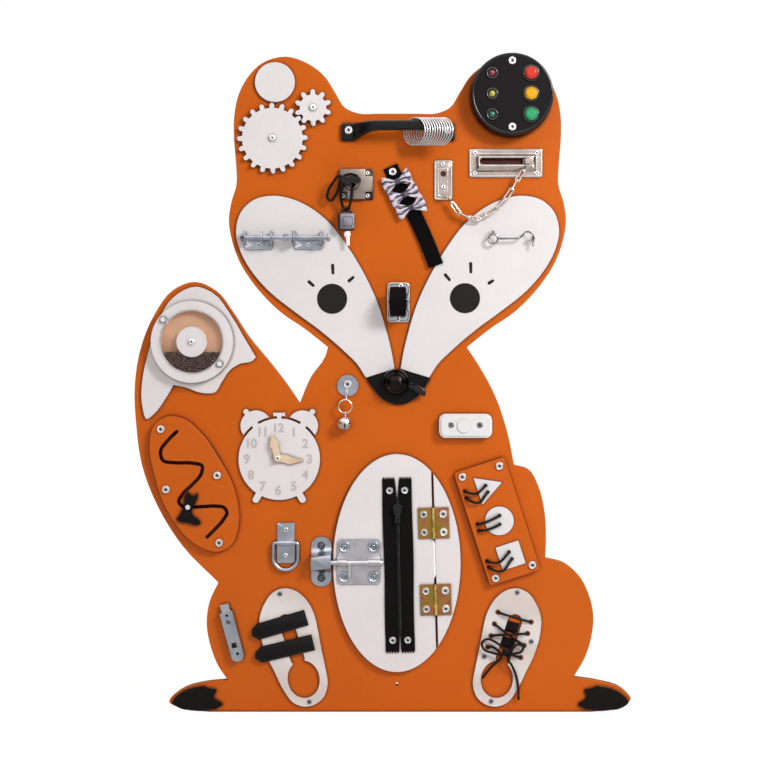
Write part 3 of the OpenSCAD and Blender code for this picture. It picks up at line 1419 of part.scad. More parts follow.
// Lace holes of the right shoe: inner row from the top down, then outer row
lace_left = [[134.4, 138], [129.6, 121.9], [124.9, 105.5], [120.3, 89.9]];
lace_right = [[180.1, 124.4], [175.3, 108.7], [170.4, 92.2], [165.9, 75.7]];
lace_holes = concat(lace_left, lace_right);
back_runs = [[lace_left[3], lace_left[2]], [lace_right[1], lace_right[0]], [lace_left[0], lace_left[1]],
  [lace_right[2], lace_right[3]]];

module shoe_outline() difference() {
  polygon(closed_curve(shoe));
  translate(heel_at) rotate(heel_turn) scale([heel_rx / heel_rz, 1]) circle(heel_rz, $fn = 64);
  ribbon([slot_top, slot_low], tongue_w / 2 - 3);
  ribbon([slot_top + [0, -3], slot_low + [1, 2]], tongue_w / 2);
}

module shoe_soles() {
  color(white) on_front() linear_extrude(panel_t) {
    difference() {
      shoe_outline();
      for (p = shoe_screws_left) translate(p) circle(drill_r);
    }
    difference() {
      translate([2 * shoe_axis, 0]) mirror([1, 0]) shoe_outline();
      for (p = shoe_screws_right) translate(p) circle(drill_r);
      for (p = lace_holes) translate(p) circle(lace_hole_r);
    }
  }
}

strap_t = 2.5;
strap_roots = [[-128.5, 131], [-119, 97]];
strap_turns = [196.5, 193.5];
strap_ls = [79, 83];

// A strap lies from its stitched root to its pointed tip
module shoe_strap(i) color(black) at_front(strap_roots[i], panel_t + free, strap_turns[i])
  linear_extrude(strap_t) polygon([[0, -strap_w / 2], [0, strap_w / 2], [strap_ls[i] - 8, strap_w / 2],
    [strap_ls[i], 3], [strap_ls[i] - 3, -6], [strap_ls[i] - 12, -strap_w / 2]]);
module strap_upper() shoe_strap(0);
module strap_lower() shoe_strap(1);

// A stitch goes in at one hole, along a groove in the back and out at the next
function stitch(p) = let (a = p[0], b = p[1]) [[a[0], a[1], panel_t], [a[0], a[1], deep + 1],
  [(a[0] + b[0]) / 2, (a[1] + b[1]) / 2, deep], [b[0], b[1], deep + 1], [b[0], b[1], panel_t]];

// Route of the lace as x, z and height above the board: tail, knot, crossings, bow and the other tail
deep = lace_r + 0.4 - board_t;
lace_w = panel_t + lace_r + 0.5;
lace_route = concat([[113, 48, lace_w], [126, 64, lace_w], [139, 78, lace_w + 0.5], [133, 87, lace_w + 1.5], [125, 91, lace_w]],
  stitch(back_runs[0]), [[129, 106.5, lace_w], [150, 108, lace_w + 3.6], [171, 108.7, lace_w]],
  stitch(back_runs[1]), [[175.5, 125.8, lace_w], [139, 136.6, lace_w]],
  stitch(back_runs[2]), [[133.5, 119, lace_w], [150, 106.5, lace_w - 0.2], [166.5, 95, lace_w]],
  stitch(back_runs[3]), [[161, 77, lace_w], [150, 82, lace_w + 2],
  [143, 88, lace_w + 6], [131, 98, lace_w + 5], [119, 102, lace_w + 3.6], [112, 97, lace_w + 3.6], [114, 89, lace_w + 3.8],
  [128, 83, lace_w + 5], [142, 81.5, lace_w + 7], [152, 88, lace_w + 8], [162, 95, lace_w + 5],
  [169, 91.5, lace_w + 4], [166, 85, lace_w + 4.4], [156, 83, lace_w + 8], [147, 77, lace_w + 9],
  [153, 66, lace_w + 4], [159, 52, lace_w], [162, 36, lace_w], [162.4, 18, lace_w]]);
module shoe_lace() color(black) on_front() tube(lace_route, lace_r, [0, 1, 0]);

// ---- fasteners ----

eye_places = [upper_eye, eye_right];
axle_places = [gear_at, small_gear_at, tail_wheel_at, clock_pin];

// Groups of screws in the board: places, height of the seat, and whether a cup washer is under the head
screw_groups = [
  [handle_screws, foot_t, 1],
  [[for (p = post_places) box_at + p], box_h, 1],
  [track_screws, sheet, 0],
  [anchor_screws, sheet, 0],
  [lock_screws, sheet, 0],
  [[strap_at], 0.2 + elastic_t, 1],
  [bracket_screws, panel_t + sheet, 0],
  [castor_screws, sheet, 0],
  [[jingle_at + [0, 2]], sheet, 1],
  [push_screws, push_t - 3, 0],
  [maze_screws, thick_t, 1],
  [ring_screws, sheet, 0],
  [strike_screws, sheet, 1],
  [[for (z = hinge_heights, s = [-1, 1]) hinge_at + turned([leaf_screw_x, z + s * leaf_screw_z], hinge_lean)],
    door_t + sheet, 1],
  [shape_screws, thick_t, 1],
  [latch_screws, latch_h, 0],
  [shoe_screws_left, panel_t, 0],
  [shoe_screws_right, panel_t, 0]];

cup_floor = 0.5;
cup_h = 2.2;

// Pan head screw with a hexagon socket, from its seat down into what holds it
module wood_screw(seat, reach, cup) {
  lift = seat + (cup ? cup_floor : 0);
  translate([0, 0, seat - reach]) cylinder(r = screw_r, h = reach + lift - seat + 0.2, $fn = 24);
  translate([0, 0, lift]) difference() {
    cylinder(r1 = head_r, r2 = head_r - 0.7, h = head_h, $fn = 32);
    translate([0, 0, 0.8]) cylinder(r = 1.4, h = head_h, $fn = 6);
  }
}

module cup_washer(seat, r) translate([0, 0, seat]) rotate_extrude() polygon([[drill_r, 0], [r, 0],
  [r - 0.4, cup_h * 0.8], [r - 1, cup_h], [head_r + 0.9, 1.2], [head_r + 0.4, cup_floor], [drill_r, cup_floor]]);

module axle_screw(top, r) {
  translate([0, 0, -bite]) cylinder(r = r, h = bite + top + 0.2, $fn = 32);
  translate([0, 0, top]) difference() {
    cylinder(r1 = r + 2.2, r2 = r + 1.6, h = head_h + 0.4, $fn = 32);
    translate([0, 0, 1]) cylinder(r = 1.5, h = head_h + 2, $fn = 6);
  }
}

module board_screws() {
  color(steel) {
    for (g = screw_groups) for (p = g[0]) at_front(p) {
      wood_screw(g[1], g[1] + bite, g[2] > 0);
      if (g[2] > 0) cup_washer(g[1], cup_r);
    }
    for (p = [gear_at, small_gear_at]) at_front(p) axle_screw(gear_lift + gear_t + free, axle_r);
    at_front(tail_wheel_at) axle_screw(wheel_lift + wheel_disc_t + free, axle_r);
    at_front(clock_pin) axle_screw(panel_t + minute_level + hand_t + free, axle_small);
    screw_eye(upper_eye, true);
    screw_eye(eye_right, false);
  }
}

module door_screws() {
  color(steel) {
    for (z = hinge_heights, s = [-1, 1]) hinge_frame() translate([-leaf_screw_x, z + s * leaf_screw_z, 0]) {
      wood_screw(door_t + sheet, door_t - 1, true);
      cup_washer(door_t + sheet, cup_r - 0.6);
    }
    for (p = bolt_screws) at_front(p) {
      wood_screw(door_t + sheet, door_t - 1, true);
      cup_washer(door_t + sheet, big_cup_r);
    }
    for (p = zip_screws) at_front(p) {
      wood_screw(door_t + tape_t, door_t - 1, true);
      cup_washer(door_t + tape_t, cup_r - 0.6);
    }
  }
}

base_board();
white_panels();
black_panels();
pull_handle();
light_box();
light_electronics();
chain_plates();
lock_case();
bow_strap();
bolt_brackets();
bell_base();
doorbell_case();
maze_panel();
clock_face();
steel_plates();
fixed_hinge_leaves();
shoe_soles();
shape_board();
board_screws();
seed_filling();
shoe_lace();
lock_cord();
gear_large();
gear_small();
handle_rings();
button_red();
button_yellow();
button_green();
chain_slider();
chain_upper();
chain_lower();
lock_key();
padlock();
wing_nut();
gate_hook();
castor_wheel();
bell_lever();
jingle_bell();
doorbell_button();
grain_wheel();
grain_window();
maze_rider();
minute_hand();
hour_hand();
ring_bail();
door_panel();
door_fittings();
zipper_tape();
zipper_slider();
door_bolt();
door_screws();
strap_upper();
strap_lower();
tile_triangle();
tile_circle();
tile_square();
cord_triangle();
cord_circle();
cord_square();
latch_bolt();
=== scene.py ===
import json
import math
import random

import bmesh
import bpy
from mathutils import Matrix, Vector, noise

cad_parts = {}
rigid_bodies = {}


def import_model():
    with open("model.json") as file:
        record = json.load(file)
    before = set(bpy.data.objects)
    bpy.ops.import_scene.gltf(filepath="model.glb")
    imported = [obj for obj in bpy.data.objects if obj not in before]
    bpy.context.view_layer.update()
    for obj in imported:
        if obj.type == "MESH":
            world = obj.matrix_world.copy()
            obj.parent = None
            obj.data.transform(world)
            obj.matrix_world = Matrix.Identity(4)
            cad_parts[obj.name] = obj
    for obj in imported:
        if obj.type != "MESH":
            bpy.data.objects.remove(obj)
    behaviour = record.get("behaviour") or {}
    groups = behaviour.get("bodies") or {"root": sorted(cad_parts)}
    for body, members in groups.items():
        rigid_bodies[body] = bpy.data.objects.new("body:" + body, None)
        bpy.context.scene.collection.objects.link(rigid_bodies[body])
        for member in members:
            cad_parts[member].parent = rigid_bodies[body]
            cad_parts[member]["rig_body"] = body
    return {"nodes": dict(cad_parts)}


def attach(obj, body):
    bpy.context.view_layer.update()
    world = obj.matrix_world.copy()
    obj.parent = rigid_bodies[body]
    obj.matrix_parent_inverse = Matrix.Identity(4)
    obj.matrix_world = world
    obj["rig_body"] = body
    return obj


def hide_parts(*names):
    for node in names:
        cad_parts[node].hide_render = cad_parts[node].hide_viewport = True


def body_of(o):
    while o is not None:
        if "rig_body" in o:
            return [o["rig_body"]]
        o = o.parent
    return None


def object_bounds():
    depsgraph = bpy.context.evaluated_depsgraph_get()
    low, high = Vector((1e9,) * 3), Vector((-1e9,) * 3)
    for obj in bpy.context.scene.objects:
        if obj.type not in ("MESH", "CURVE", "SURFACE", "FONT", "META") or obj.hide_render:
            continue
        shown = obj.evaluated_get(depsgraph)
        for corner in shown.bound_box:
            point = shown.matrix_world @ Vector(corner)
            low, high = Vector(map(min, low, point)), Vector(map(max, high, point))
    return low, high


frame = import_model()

CAD_BOX = [list(corner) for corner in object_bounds()]

# ---- camera ----
# The board is seen square on, from two metres, with its whole outline in the frame. From so far away
# the raised toys hardly lean outward.

MM = 0.001
BOARD_FRONT = -6.0      # y of the base board's front face, in mm
VIEW_DISTANCE = 2000.0
VIEW_WIDTH = 1056.8     # width of the board's plane that the frame takes in
SENSOR = 36.0

bpy.ops.object.select_all(action="DESELECT")
bpy.ops.object.camera_add(location=(-22 * MM, (BOARD_FRONT - VIEW_DISTANCE) * MM, 451.3 * MM),
                          rotation=(math.radians(90), 0, 0))
camera = bpy.context.object
camera.name = "camera"
camera.data.sensor_width = SENSOR
camera.data.lens = SENSOR * VIEW_DISTANCE / VIEW_WIDTH
bpy.context.scene.camera = camera
bpy.context.scene.view_settings.view_transform = "Standard"


# ---- braided cords ----
# Round black polyester cords: the key's lanyard, the three cords that tie the shape tiles to their
# board, and the shoe lace. Each is braided from fine yarn, so it has a diamond texture and a dull sheen.

def on_board(x, z, out):
    """Point out mm in front of the board's face."""
    return Vector((x, BOARD_FRONT - out, z))


def smooth_route(points, steps=5):
    """Soft curve through the points, as a cord takes it, with no overshoot at close turns."""
    points = [Vector(p) for p in points]

    def slope(a, b, c):
        before, after = b - a, c - b
        h, k = before.length, after.length
        return (before / h * k + after / k * h) / (h + k)

    curve = []
    last = len(points) - 1
    for i in range(last):
        b, c = points[i], points[i + 1]
        k = (c - b).length
        start = slope(points[i - 1], b, c) * k if i else c - b
        stop = slope(b, c, points[i + 2]) * k if i + 1 < last else c - b
        for j in range(steps):
            t = j / steps
            curve.append((2 * t**3 - 3 * t**2 + 1) * b + (t**3 - 2 * t**2 + t) * start
                         + (3 * t**2 - 2 * t**3) * c + (t**3 - t**2) * stop)
    curve.append(points[-1])
    return curve


def piece_from(name, shape, body, material, smooth="all", thick=0.0, rounds=0):
    """Object of a finished bmesh, made thick mm thick and rounded if asked, and shaded smooth: everywhere
    or up to an angle in degrees."""
    bmesh.ops.recalc_face_normals(shape, faces=shape.faces)
    mesh = bpy.data.meshes.new(name)
    shape.to_mesh(mesh)
    shape.free()
    piece = bpy.data.objects.new(name, mesh)
    bpy.context.scene.collection.objects.link(piece)
    bpy.ops.object.select_all(action="DESELECT")
    piece.select_set(True)
    bpy.context.view_layer.objects.active = piece
    if thick:
        cloth = piece.modifiers.new("cloth", "SOLIDIFY")
        cloth.thickness = thick * MM
        cloth.offset = 0
        bpy.ops.object.modifier_apply(modifier=cloth.name)
    if rounds:
        soft = piece.modifiers.new("soft", "SUBSURF")
        soft.levels = soft.render_levels = rounds
        bpy.ops.object.modifier_apply(modifier=soft.name)
    if smooth == "all":
        bpy.ops.object.shade_smooth()
    elif smooth:
        bpy.ops.object.shade_smooth_by_angle(angle=math.radians(smooth))
    wear(piece, material)
    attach(piece, body)
    return piece


def swept(name, route, ring, body, material, closed_ends=True):
    """Piece made by a ring of points (across, up) carried along a route; u goes round it, v along in mm."""
    count, size = len(route), len(ring)
    turns = [(route[min(i + 1, count - 1)] - route[max(i - 1, 0)]).normalized() for i in range(count)]
    side = turns[0].cross(Vector((0, 1, 0)))
    if side.length < 0.1:
        side = turns[0].cross(Vector((1, 0, 0)))
    side.normalize()
    shape = bmesh.new()
    uv = shape.loops.layers.uv.new("UVMap")
    rings, along, travelled = [], [], 0.0
    for i, (middle, ahead) in enumerate(zip(route, turns)):
        side = (side - ahead * side.dot(ahead)).normalized()
        up = ahead.cross(side)
        rings.append([shape.verts.new((middle + side * x + up * y) * MM) for x, y in ring])
        if i:
            travelled += (middle - route[i - 1]).length
        along.append(travelled)
    for i in range(count - 1):
        for k in range(size):
            m = (k + 1) % size
            face = shape.faces.new((rings[i][k], rings[i][m], rings[i + 1][m], rings[i + 1][k]))
            for loop, (u, v) in zip(face.loops, ((k, i), (k + 1, i), (k + 1, i + 1), (k, i + 1))):
                loop[uv].uv = (u / size, along[v])
    if closed_ends:
        shape.faces.new(reversed(rings[0]))
        shape.faces.new(rings[-1])
    return piece_from(name, shape, body, material)


def ellipse(across, up, sides):
    return [(across * math.cos(2 * math.pi * k / sides), up * math.sin(2 * math.pi * k / sides))
            for k in range(sides)]


def circle(radius, sides=12):
    return ellipse(radius, radius, sides)


def tint(code):
    """sRGB hex colour as the linear value that a shader takes."""
    parts = [int(code[i:i + 2], 16) / 255 for i in (1, 3, 5)]
    return [p / 12.92 if p <= 0.04045 else ((p + 0.055) / 1.055) ** 2.4 for p in parts] + [1.0]


def node(tree, kind, settings=None, links=None):
    """Adds a shader node, sets its properties and sockets, and links its inputs to sockets or to nodes."""
    made = tree.nodes.new("ShaderNode" + kind)
    for key, value in (settings or {}).items():
        if isinstance(key, str) and hasattr(made, key):
            setattr(made, key, value)
        else:
            made.inputs[key].default_value = value
    for key, source in (links or {}).items():
        tree.links.new(getattr(source, "outputs", [source])[0], made.inputs[key])
    return made


def calc(tree, operation, *values):
    """Math node on plain numbers, sockets and nodes."""
    plain = {key: value for key, value in enumerate(values) if isinstance(value, (int, float))}
    linked = {key: value for key, value in enumerate(values) if key not in plain}
    return node(tree, "Math", {"operation": operation, **plain}, linked)


def ranged(tree, source, low=0.0, high=1.0, to_low=0.0, to_high=1.0):
    return node(tree, "MapRange", {1: low, 2: high, 3: to_low, 4: to_high}, {0: source})


def two_tone(tree, dark, light, amount):
    """A colour between two hex colours."""
    return node(tree, "Mix", {"data_type": "RGBA", 6: tint(dark), 7: tint(light)}, {0: amount}).outputs[2]


def finish_named(name, colour, roughness, gloss=0.5, **sockets):
    """Material with one Principled shader: its colour, roughness, specular level and other sockets."""
    material = bpy.data.materials.new(name)
    material.use_nodes = True
    tree = material.node_tree
    shader = tree.nodes["Principled BSDF"]
    shader.inputs["Base Color"].default_value = tint(colour)
    shader.inputs["Roughness"].default_value = roughness
    shader.inputs["Specular IOR Level"].default_value = gloss
    for key, value in sockets.items():
        shader.inputs[key.replace("_", " ")].default_value = value
    return material, tree, shader


def surface(tree, shader, colour, height=None, strength=0.2, rise=0.2):
    """Links a colour to the shader, and a bump whose full height is rise, in mm."""
    tree.links.new(colour, shader.inputs["Base Color"])
    if height is not None:
        bump = node(tree, "Bump", {"Strength": strength, "Distance": rise * MM}, {"Height": height})
        tree.links.new(bump.outputs[0], shader.inputs["Normal"])


def wear(piece, *materials):
    """Gives a piece its materials, in slot order."""
    piece.data.materials.clear()
    for material in materials:
        piece.data.materials.append(material)


# Braided polyester: three yarns each way round the cord, 2.4 mm a plait, drawn coarse enough to show
PLAIT = 2.4
braid, tree, shader = finish_named("braided_black_polyester", "#0c0909", 0.55, gloss=0.2)
around = node(tree, "SeparateXYZ", links={0: node(tree, "UVMap")})
lane = calc(tree, "MULTIPLY", around.outputs["X"], 3.0)
along = calc(tree, "DIVIDE", around.outputs["Y"], PLAIT)
yarns = [calc(tree, "SINE", calc(tree, "MULTIPLY", calc(tree, way, lane, along), 2 * math.pi))
         for way in ("ADD", "SUBTRACT")]
plait = calc(tree, "MAXIMUM", *yarns)
surface(tree, shader, two_tone(tree, "#050404", "#151010", ranged(tree, plait, -1.0)), plait, 0.5, 0.3)


def braided(name, points, radius, body, replaced):
    """A cord along points in mm, which takes the place of a CAD node and hides it."""
    route = smooth_route(points)
    piece = swept(name, route, circle(radius), body, braid)
    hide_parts(replaced)


# Lanyard: wound twice round the key's neck, a loop hanging to the left and one through the shackle
braided("key_lanyard", [(-63, -23, 724), (-70, -22.5, 727), (-77, -23, 733), (-84, -23.5, 735), (-91, -23, 727),
                        (-98.5, -20, 714), (-99.5, -18.5, 706), (-95, -18.5, 702), (-89, -19, 708),
                        (-84, -20, 719), (-81, -21.5, 730), (-74, -22.2, 736.5), (-65, -22.2, 737.5),
                        (-57.5, -22.2, 733), (-60, -22.2, 727), (-64.5, -24.8, 720), (-66.5, -24.5, 708),
                        (-68.5, -23, 696), (-71, -21.2, 689.5), (-73.5, -19, 688.2), (-76.3, -16.6, 689.6),
                        (-79, -17, 696), (-80.3, -20, 706), (-80, -23.5, 716), (-76, -25.3, 724),
                        (-70, -25.8, 729)],
        1.9, "root", "lock_cord")

# Tile cords: out of one hole beside the pocket, through the tile and back into the other hole
TILE_TOP = 11.6
CORD_R = 1.7


def turned(x, y, degrees):
    c, s = math.cos(math.radians(degrees)), math.sin(math.radians(degrees))
    return x * c - y * s, x * s + y * c


def frame_at(place, turn):
    """Own frame of a piece on the board: along x and y, turned by an angle in degrees, and out of the board."""
    def own(x, y, out):
        x, y = turned(x, y, turn)
        return on_board(place[0] + x, place[1] + y, out)
    return own


in_shape = frame_at((133.0, 263.0), 17.9)


def tile_cord(name, start, end, eye, sag, body, replaced):
    """A tile's cord: up from one hole beside the pocket, through both holes of the tile, down the other."""
    (ax, ay), (bx, by), ((cx, cy), (dx, dy)) = start, end, eye
    low = 5.6 - CORD_R - 0.05
    top = TILE_TOP + 4

    def hung(p, q, t, drop, out):
        return p[0] + (q[0] - p[0]) * t, p[1] + (q[1] - p[1]) * t - sag * drop, out

    points = [(ax, ay, 0.6), (ax, ay, 10.8), hung(start, eye[0], 0.14, 0.5, top),
              hung(start, eye[0], 0.5, 1, top + 0.5), hung(start, eye[0], 0.86, 0.3, top),
              (cx, cy, TILE_TOP + 0.8), (cx, cy, low + 1.2), ((cx + dx) / 2, (cy + dy) / 2, low),
              (dx, dy, low + 1.2), (dx, dy, TILE_TOP + 0.8), hung(end, eye[1], 0.86, 0.4, top),
              hung(end, eye[1], 0.5, 1.5, top + 0.5), hung(end, eye[1], 0.14, 0.8, top),
              (bx, by, 10.8), (bx, by, 0.6)]
    braided(name, [in_shape(*p) for p in points], CORD_R, body, replaced)


tile_cord("triangle_cord", (-29.5, 53.5), (-30.5, 44), ((0, 52), (0, 42.5)), 7, "tile_triangle", "cord_triangle")
tile_cord("circle_cord", (-27, 5), (-28, -4), ((5.5, 7), (2, -4.5)), 1, "tile_circle", "cord_circle")
tile_cord("square_cord", (-30, -47), (-30, -56), ((2.5, -44.5), (3.5, -54.5)), 7, "tile_square", "cord_square")

# Shoe lace: stitched through eight holes of the shoe and the board, and tied in a bow
LACE_R = 1.7
LACE_W = 4 + LACE_R + 0.5       # its middle line on the shoe, out of the board's face
DEEP = LACE_R + 0.4 - 12        # and where it passes behind the board
LACE_LEFT = [(134.4, 138), (129.6, 121.9), (124.9, 105.5), (120.3, 89.9)]
LACE_RIGHT = [(180.1, 124.4), (175.3, 108.7), (170.4, 92.2), (165.9, 75.7)]


def stitch(a, b):
    """Down one hole, along the back and up the other."""
    return [(*a, 4), (*a, DEEP + 1), ((a[0] + b[0]) / 2, (a[1] + b[1]) / 2, DEEP), (*b, DEEP + 1), (*b, 4)]


def over(*points):
    """Stretch of the lace on the shoe: places, with a lift where it crosses itself."""
    return [(x, z, LACE_W + sum(lift)) for x, z, *lift in points]


lace = (over((113, 48), (126, 64), (139, 78, 0.5), (133, 87, 1.5), (125, 91))
        + stitch(LACE_LEFT[3], LACE_LEFT[2])
        + over((129, 106.5), (150, 108, 3.6), (171, 108.7))
        + stitch(LACE_RIGHT[1], LACE_RIGHT[0])
        + over((175.5, 125.8), (139, 136.6))
        + stitch(LACE_LEFT[0], LACE_LEFT[1])
        + over((133.5, 119), (150, 106.5, -0.2), (166.5, 95))
        + stitch(LACE_RIGHT[2], LACE_RIGHT[3])
        + over((161, 77), (150, 82, 2), (143, 88, 6), (131, 98, 5), (119, 102, 3.6), (112, 97, 3.6), (114, 89, 3.8),
               (128, 83, 5), (142, 81.5, 7), (152, 88, 8), (162, 95, 5), (169, 91.5, 4), (166, 85, 4.4),
               (156, 83, 8), (147, 77, 9), (153, 66, 4), (159, 52), (162, 36), (162.4, 18)))
braided("shoe_lace_tied", [on_board(*p) for p in lace], LACE_R, "root", "shoe_lace")


# ---- stage ----
# A plain pale floor, a white surround, and soft studio light from the upper right. The floor glows a
# little by itself, so that it stays white behind the board.

bpy.ops.object.select_all(action="DESELECT")
bpy.ops.mesh.primitive_plane_add(size=8, location=(0, 0, CAD_BOX[0][2]))
floor = bpy.context.object
floor.name = "floor"
paper, tree, shader = finish_named("white_paper_sweep", "#f4f3f2", 0.9)
seen = node(tree, "LightPath")
looked = seen.outputs["Is Camera Ray"]
glow = node(tree, "Emission", {"Color": (1, 1, 1, 1)}, {"Strength": ranged(tree, looked, 0, 1, 0.55, 1.03)})
share = calc(tree, "MULTIPLY", calc(tree, "MAXIMUM", looked, seen.outputs["Is Glossy Ray"]), 0.94)
both = node(tree, "MixShader", links={0: share, 1: shader, 2: glow})
tree.links.new(both.outputs[0], tree.nodes["Material Output"].inputs["Surface"])
wear(floor, paper)

# The surround is white where the camera or a glass piece sees it. What metal mirrors is a studio: half
# bright round the camera, dark at the sides, with a soft box overhead and a strip of light at the right.
world = bpy.data.worlds.new("studio")
world.use_nodes = True
bpy.context.scene.world = world
tree = world.node_tree
sky = tree.nodes["Background"]
way = node(tree, "SeparateXYZ", links={0: node(tree, "TexCoord").outputs["Generated"]})
x, y, z = way.outputs
upward = ranged(tree, z, -0.2, 0.9, 0.42, 1.0)
room = calc(tree, "ADD", upward, ranged(tree, y, -0.6, 0.3, 0.0, 0.5))
room.use_clamp = True
front = ranged(tree, y, -0.35, -0.93, 0.04, 0.68)
overhead = ranged(tree, z, 0.3, 0.6, 0.0, 1.25)
strip = calc(tree, "MULTIPLY", ranged(tree, x, 0.42, 0.5), ranged(tree, x, 0.66, 0.74, 1.1, 0.0))
studio = calc(tree, "ADD", calc(tree, "ADD", front, overhead), strip)
seen = node(tree, "LightPath")
clear = calc(tree, "MAXIMUM", seen.outputs["Is Camera Ray"], seen.outputs["Is Transmission Ray"])
mirror = node(tree, "Mix", {"data_type": "FLOAT"},
              {0: seen.outputs["Is Glossy Ray"], 2: calc(tree, "MULTIPLY", room, 0.56), 3: studio})
strength = node(tree, "Mix", {"data_type": "FLOAT", 3: 1.0}, {0: clear, 2: mirror})
tree.links.new(strength.outputs[0], sky.inputs["Strength"])
sky.inputs["Color"].default_value = (1, 1, 1, 1)

BOARD_MIDDLE = Vector((0, 0, 0.45))
for name, place, size, power in (("key_lamp", (1.2, -1.42, 1.5), 0.55, 26.5),
                                 ("fill_lamp", (-1.6, -1.9, 0.7), 1.6, 1.6)):
    bpy.ops.object.select_all(action="DESELECT")
    bpy.ops.object.light_add(type="AREA", location=place)
    lamp = bpy.context.object
    lamp.name = name
    lamp.data.size = size
    lamp.data.energy = power
    lamp.visible_glossy = name == "key_lamp"
    aim = BOARD_MIDDLE - lamp.location
    lamp.rotation_euler = aim.to_track_quat("-Z", "Y").to_euler()


# ---- base board, badge and painted panels ----
# The fox is sawn from 12 mm birch plywood and painted orange. The cheeks, tail tip, nose and paws are
# 4 mm plywood, painted and glued on, with their arrises eased by sanding.

def grouped(vertices, near):
    """Numbers the groups of vertices that are joined to each other through near()."""
    number, count = {}, 0
    for first in vertices:
        if first in number:
            continue
        number[first] = count
        waiting = [first]
        while waiting:
            for other in near(waiting.pop()):
                if other not in number:
                    number[other] = count
                    waiting.append(other)
        count += 1
    return number


def select_arrises(shape, angle, smallest):
    """Selects the sharp edges to ease: outlines wider than smallest mm, or with "outer" each solid's own."""
    sharp = [e for e in shape.edges if len(e.link_faces) == 2 and e.calc_face_angle(0) > math.radians(angle)]
    beside = {}
    for edge in sharp:
        a, b = edge.verts
        beside.setdefault(a, []).append(b)
        beside.setdefault(b, []).append(a)
    outline = grouped(list(beside), lambda v: beside[v])
    solid = grouped(list(shape.verts), lambda v: [e.other_vert(v) for e in v.link_edges])
    corners = {}
    for vertex, number in outline.items():
        corners.setdefault(number, []).append(vertex)
    span = {number: max(max(v.co[k] for v in group) - min(v.co[k] for v in group) for k in (0, 2)) / MM
            for number, group in corners.items()}
    widest = {}
    for number, group in corners.items():
        home = solid[group[0]]
        widest[home] = max(widest.get(home, 0), span[number])
    for edge in sharp:
        wide = span[outline[edge.verts[0]]]
        edge.select = wide > widest[solid[edge.verts[0]]] - 0.5 if smallest == "outer" else wide > smallest


def refined(name, *materials, ease=0.0, smallest=12.0, segments=2, angle=35):
    """Copy of a CAD node with its seams merged, its arrises eased and its curves shaded smooth."""
    source = frame["nodes"][name]
    piece = source.copy()
    piece.data = source.data.copy()
    piece.name = name + "_finished"
    piece.parent = None
    piece.matrix_world = Matrix.Identity(4)
    bpy.context.scene.collection.objects.link(piece)
    bpy.ops.object.select_all(action="DESELECT")
    piece.hide_render = piece.hide_viewport = False
    piece.select_set(True)
    bpy.context.view_layer.objects.active = piece
    bpy.ops.object.mode_set(mode="EDIT")
    bpy.ops.mesh.select_all(action="SELECT")
    bpy.ops.mesh.remove_doubles(threshold=0.00001)
    if ease:
        bpy.ops.mesh.dissolve_limited(angle_limit=math.radians(0.3))
        bpy.ops.mesh.select_all(action="DESELECT")
        bpy.ops.mesh.select_mode(type="EDGE")
        shape = bmesh.from_edit_mesh(piece.data)
        select_arrises(shape, angle, smallest)
        bmesh.update_edit_mesh(piece.data)
        bpy.ops.mesh.bevel(offset=ease * MM, segments=segments, clamp_overlap=False, affect="EDGES")
    bpy.ops.object.mode_set(mode="OBJECT")
    bpy.ops.object.shade_smooth_by_angle(angle=math.radians(angle))
    level = piece.modifiers.new("level_faces", "WEIGHTED_NORMAL")
    level.keep_sharp = True
    level.weight = 100
    bpy.ops.object.modifier_apply(modifier=level.name)
    wear(piece, *materials)
    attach(piece, body_of(source)[0])
    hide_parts(name)
    return piece


def slots_by_place(piece, *rules):
    """Sets each face's slot to the number of the first rule that its centre and corners, in mm, meet."""
    for face in piece.data.polygons:
        corners = [piece.data.vertices[k].co / MM for k in face.vertices]
        middle = sum(corners, Vector()) / len(corners)
        face.material_index = next((slot for slot, rule in enumerate(rules, 1) if rule(middle, corners)), 0)


def object_place(tree):
    return node(tree, "TexCoord").outputs["Object"]


def speckle(tree, scale, detail=2.0, place=None, **more):
    """Noise over the object's own coordinates, or over another place."""
    place = object_place(tree) if place is None else place
    return node(tree, "TexNoise", {"Scale": scale, "Detail": detail, **more}, {0: place})


def mottled(name, light, dark, roughness, scale=700.0, detail=2.0, bump=0.0, plain=None, gloss=0.3,
            **sockets):
    """Even material whose colour wavers finely between two tones, about a plain one."""
    finish, tree, shader = finish_named(name, plain or light, roughness, gloss, **sockets)
    fine = speckle(tree, scale, detail)
    surface(tree, shader, two_tone(tree, dark, light, fine), fine if bump else None, bump)
    return finish


SHADE_REACH = 5.0               # how far from an inside corner its painted shade reaches, in mm
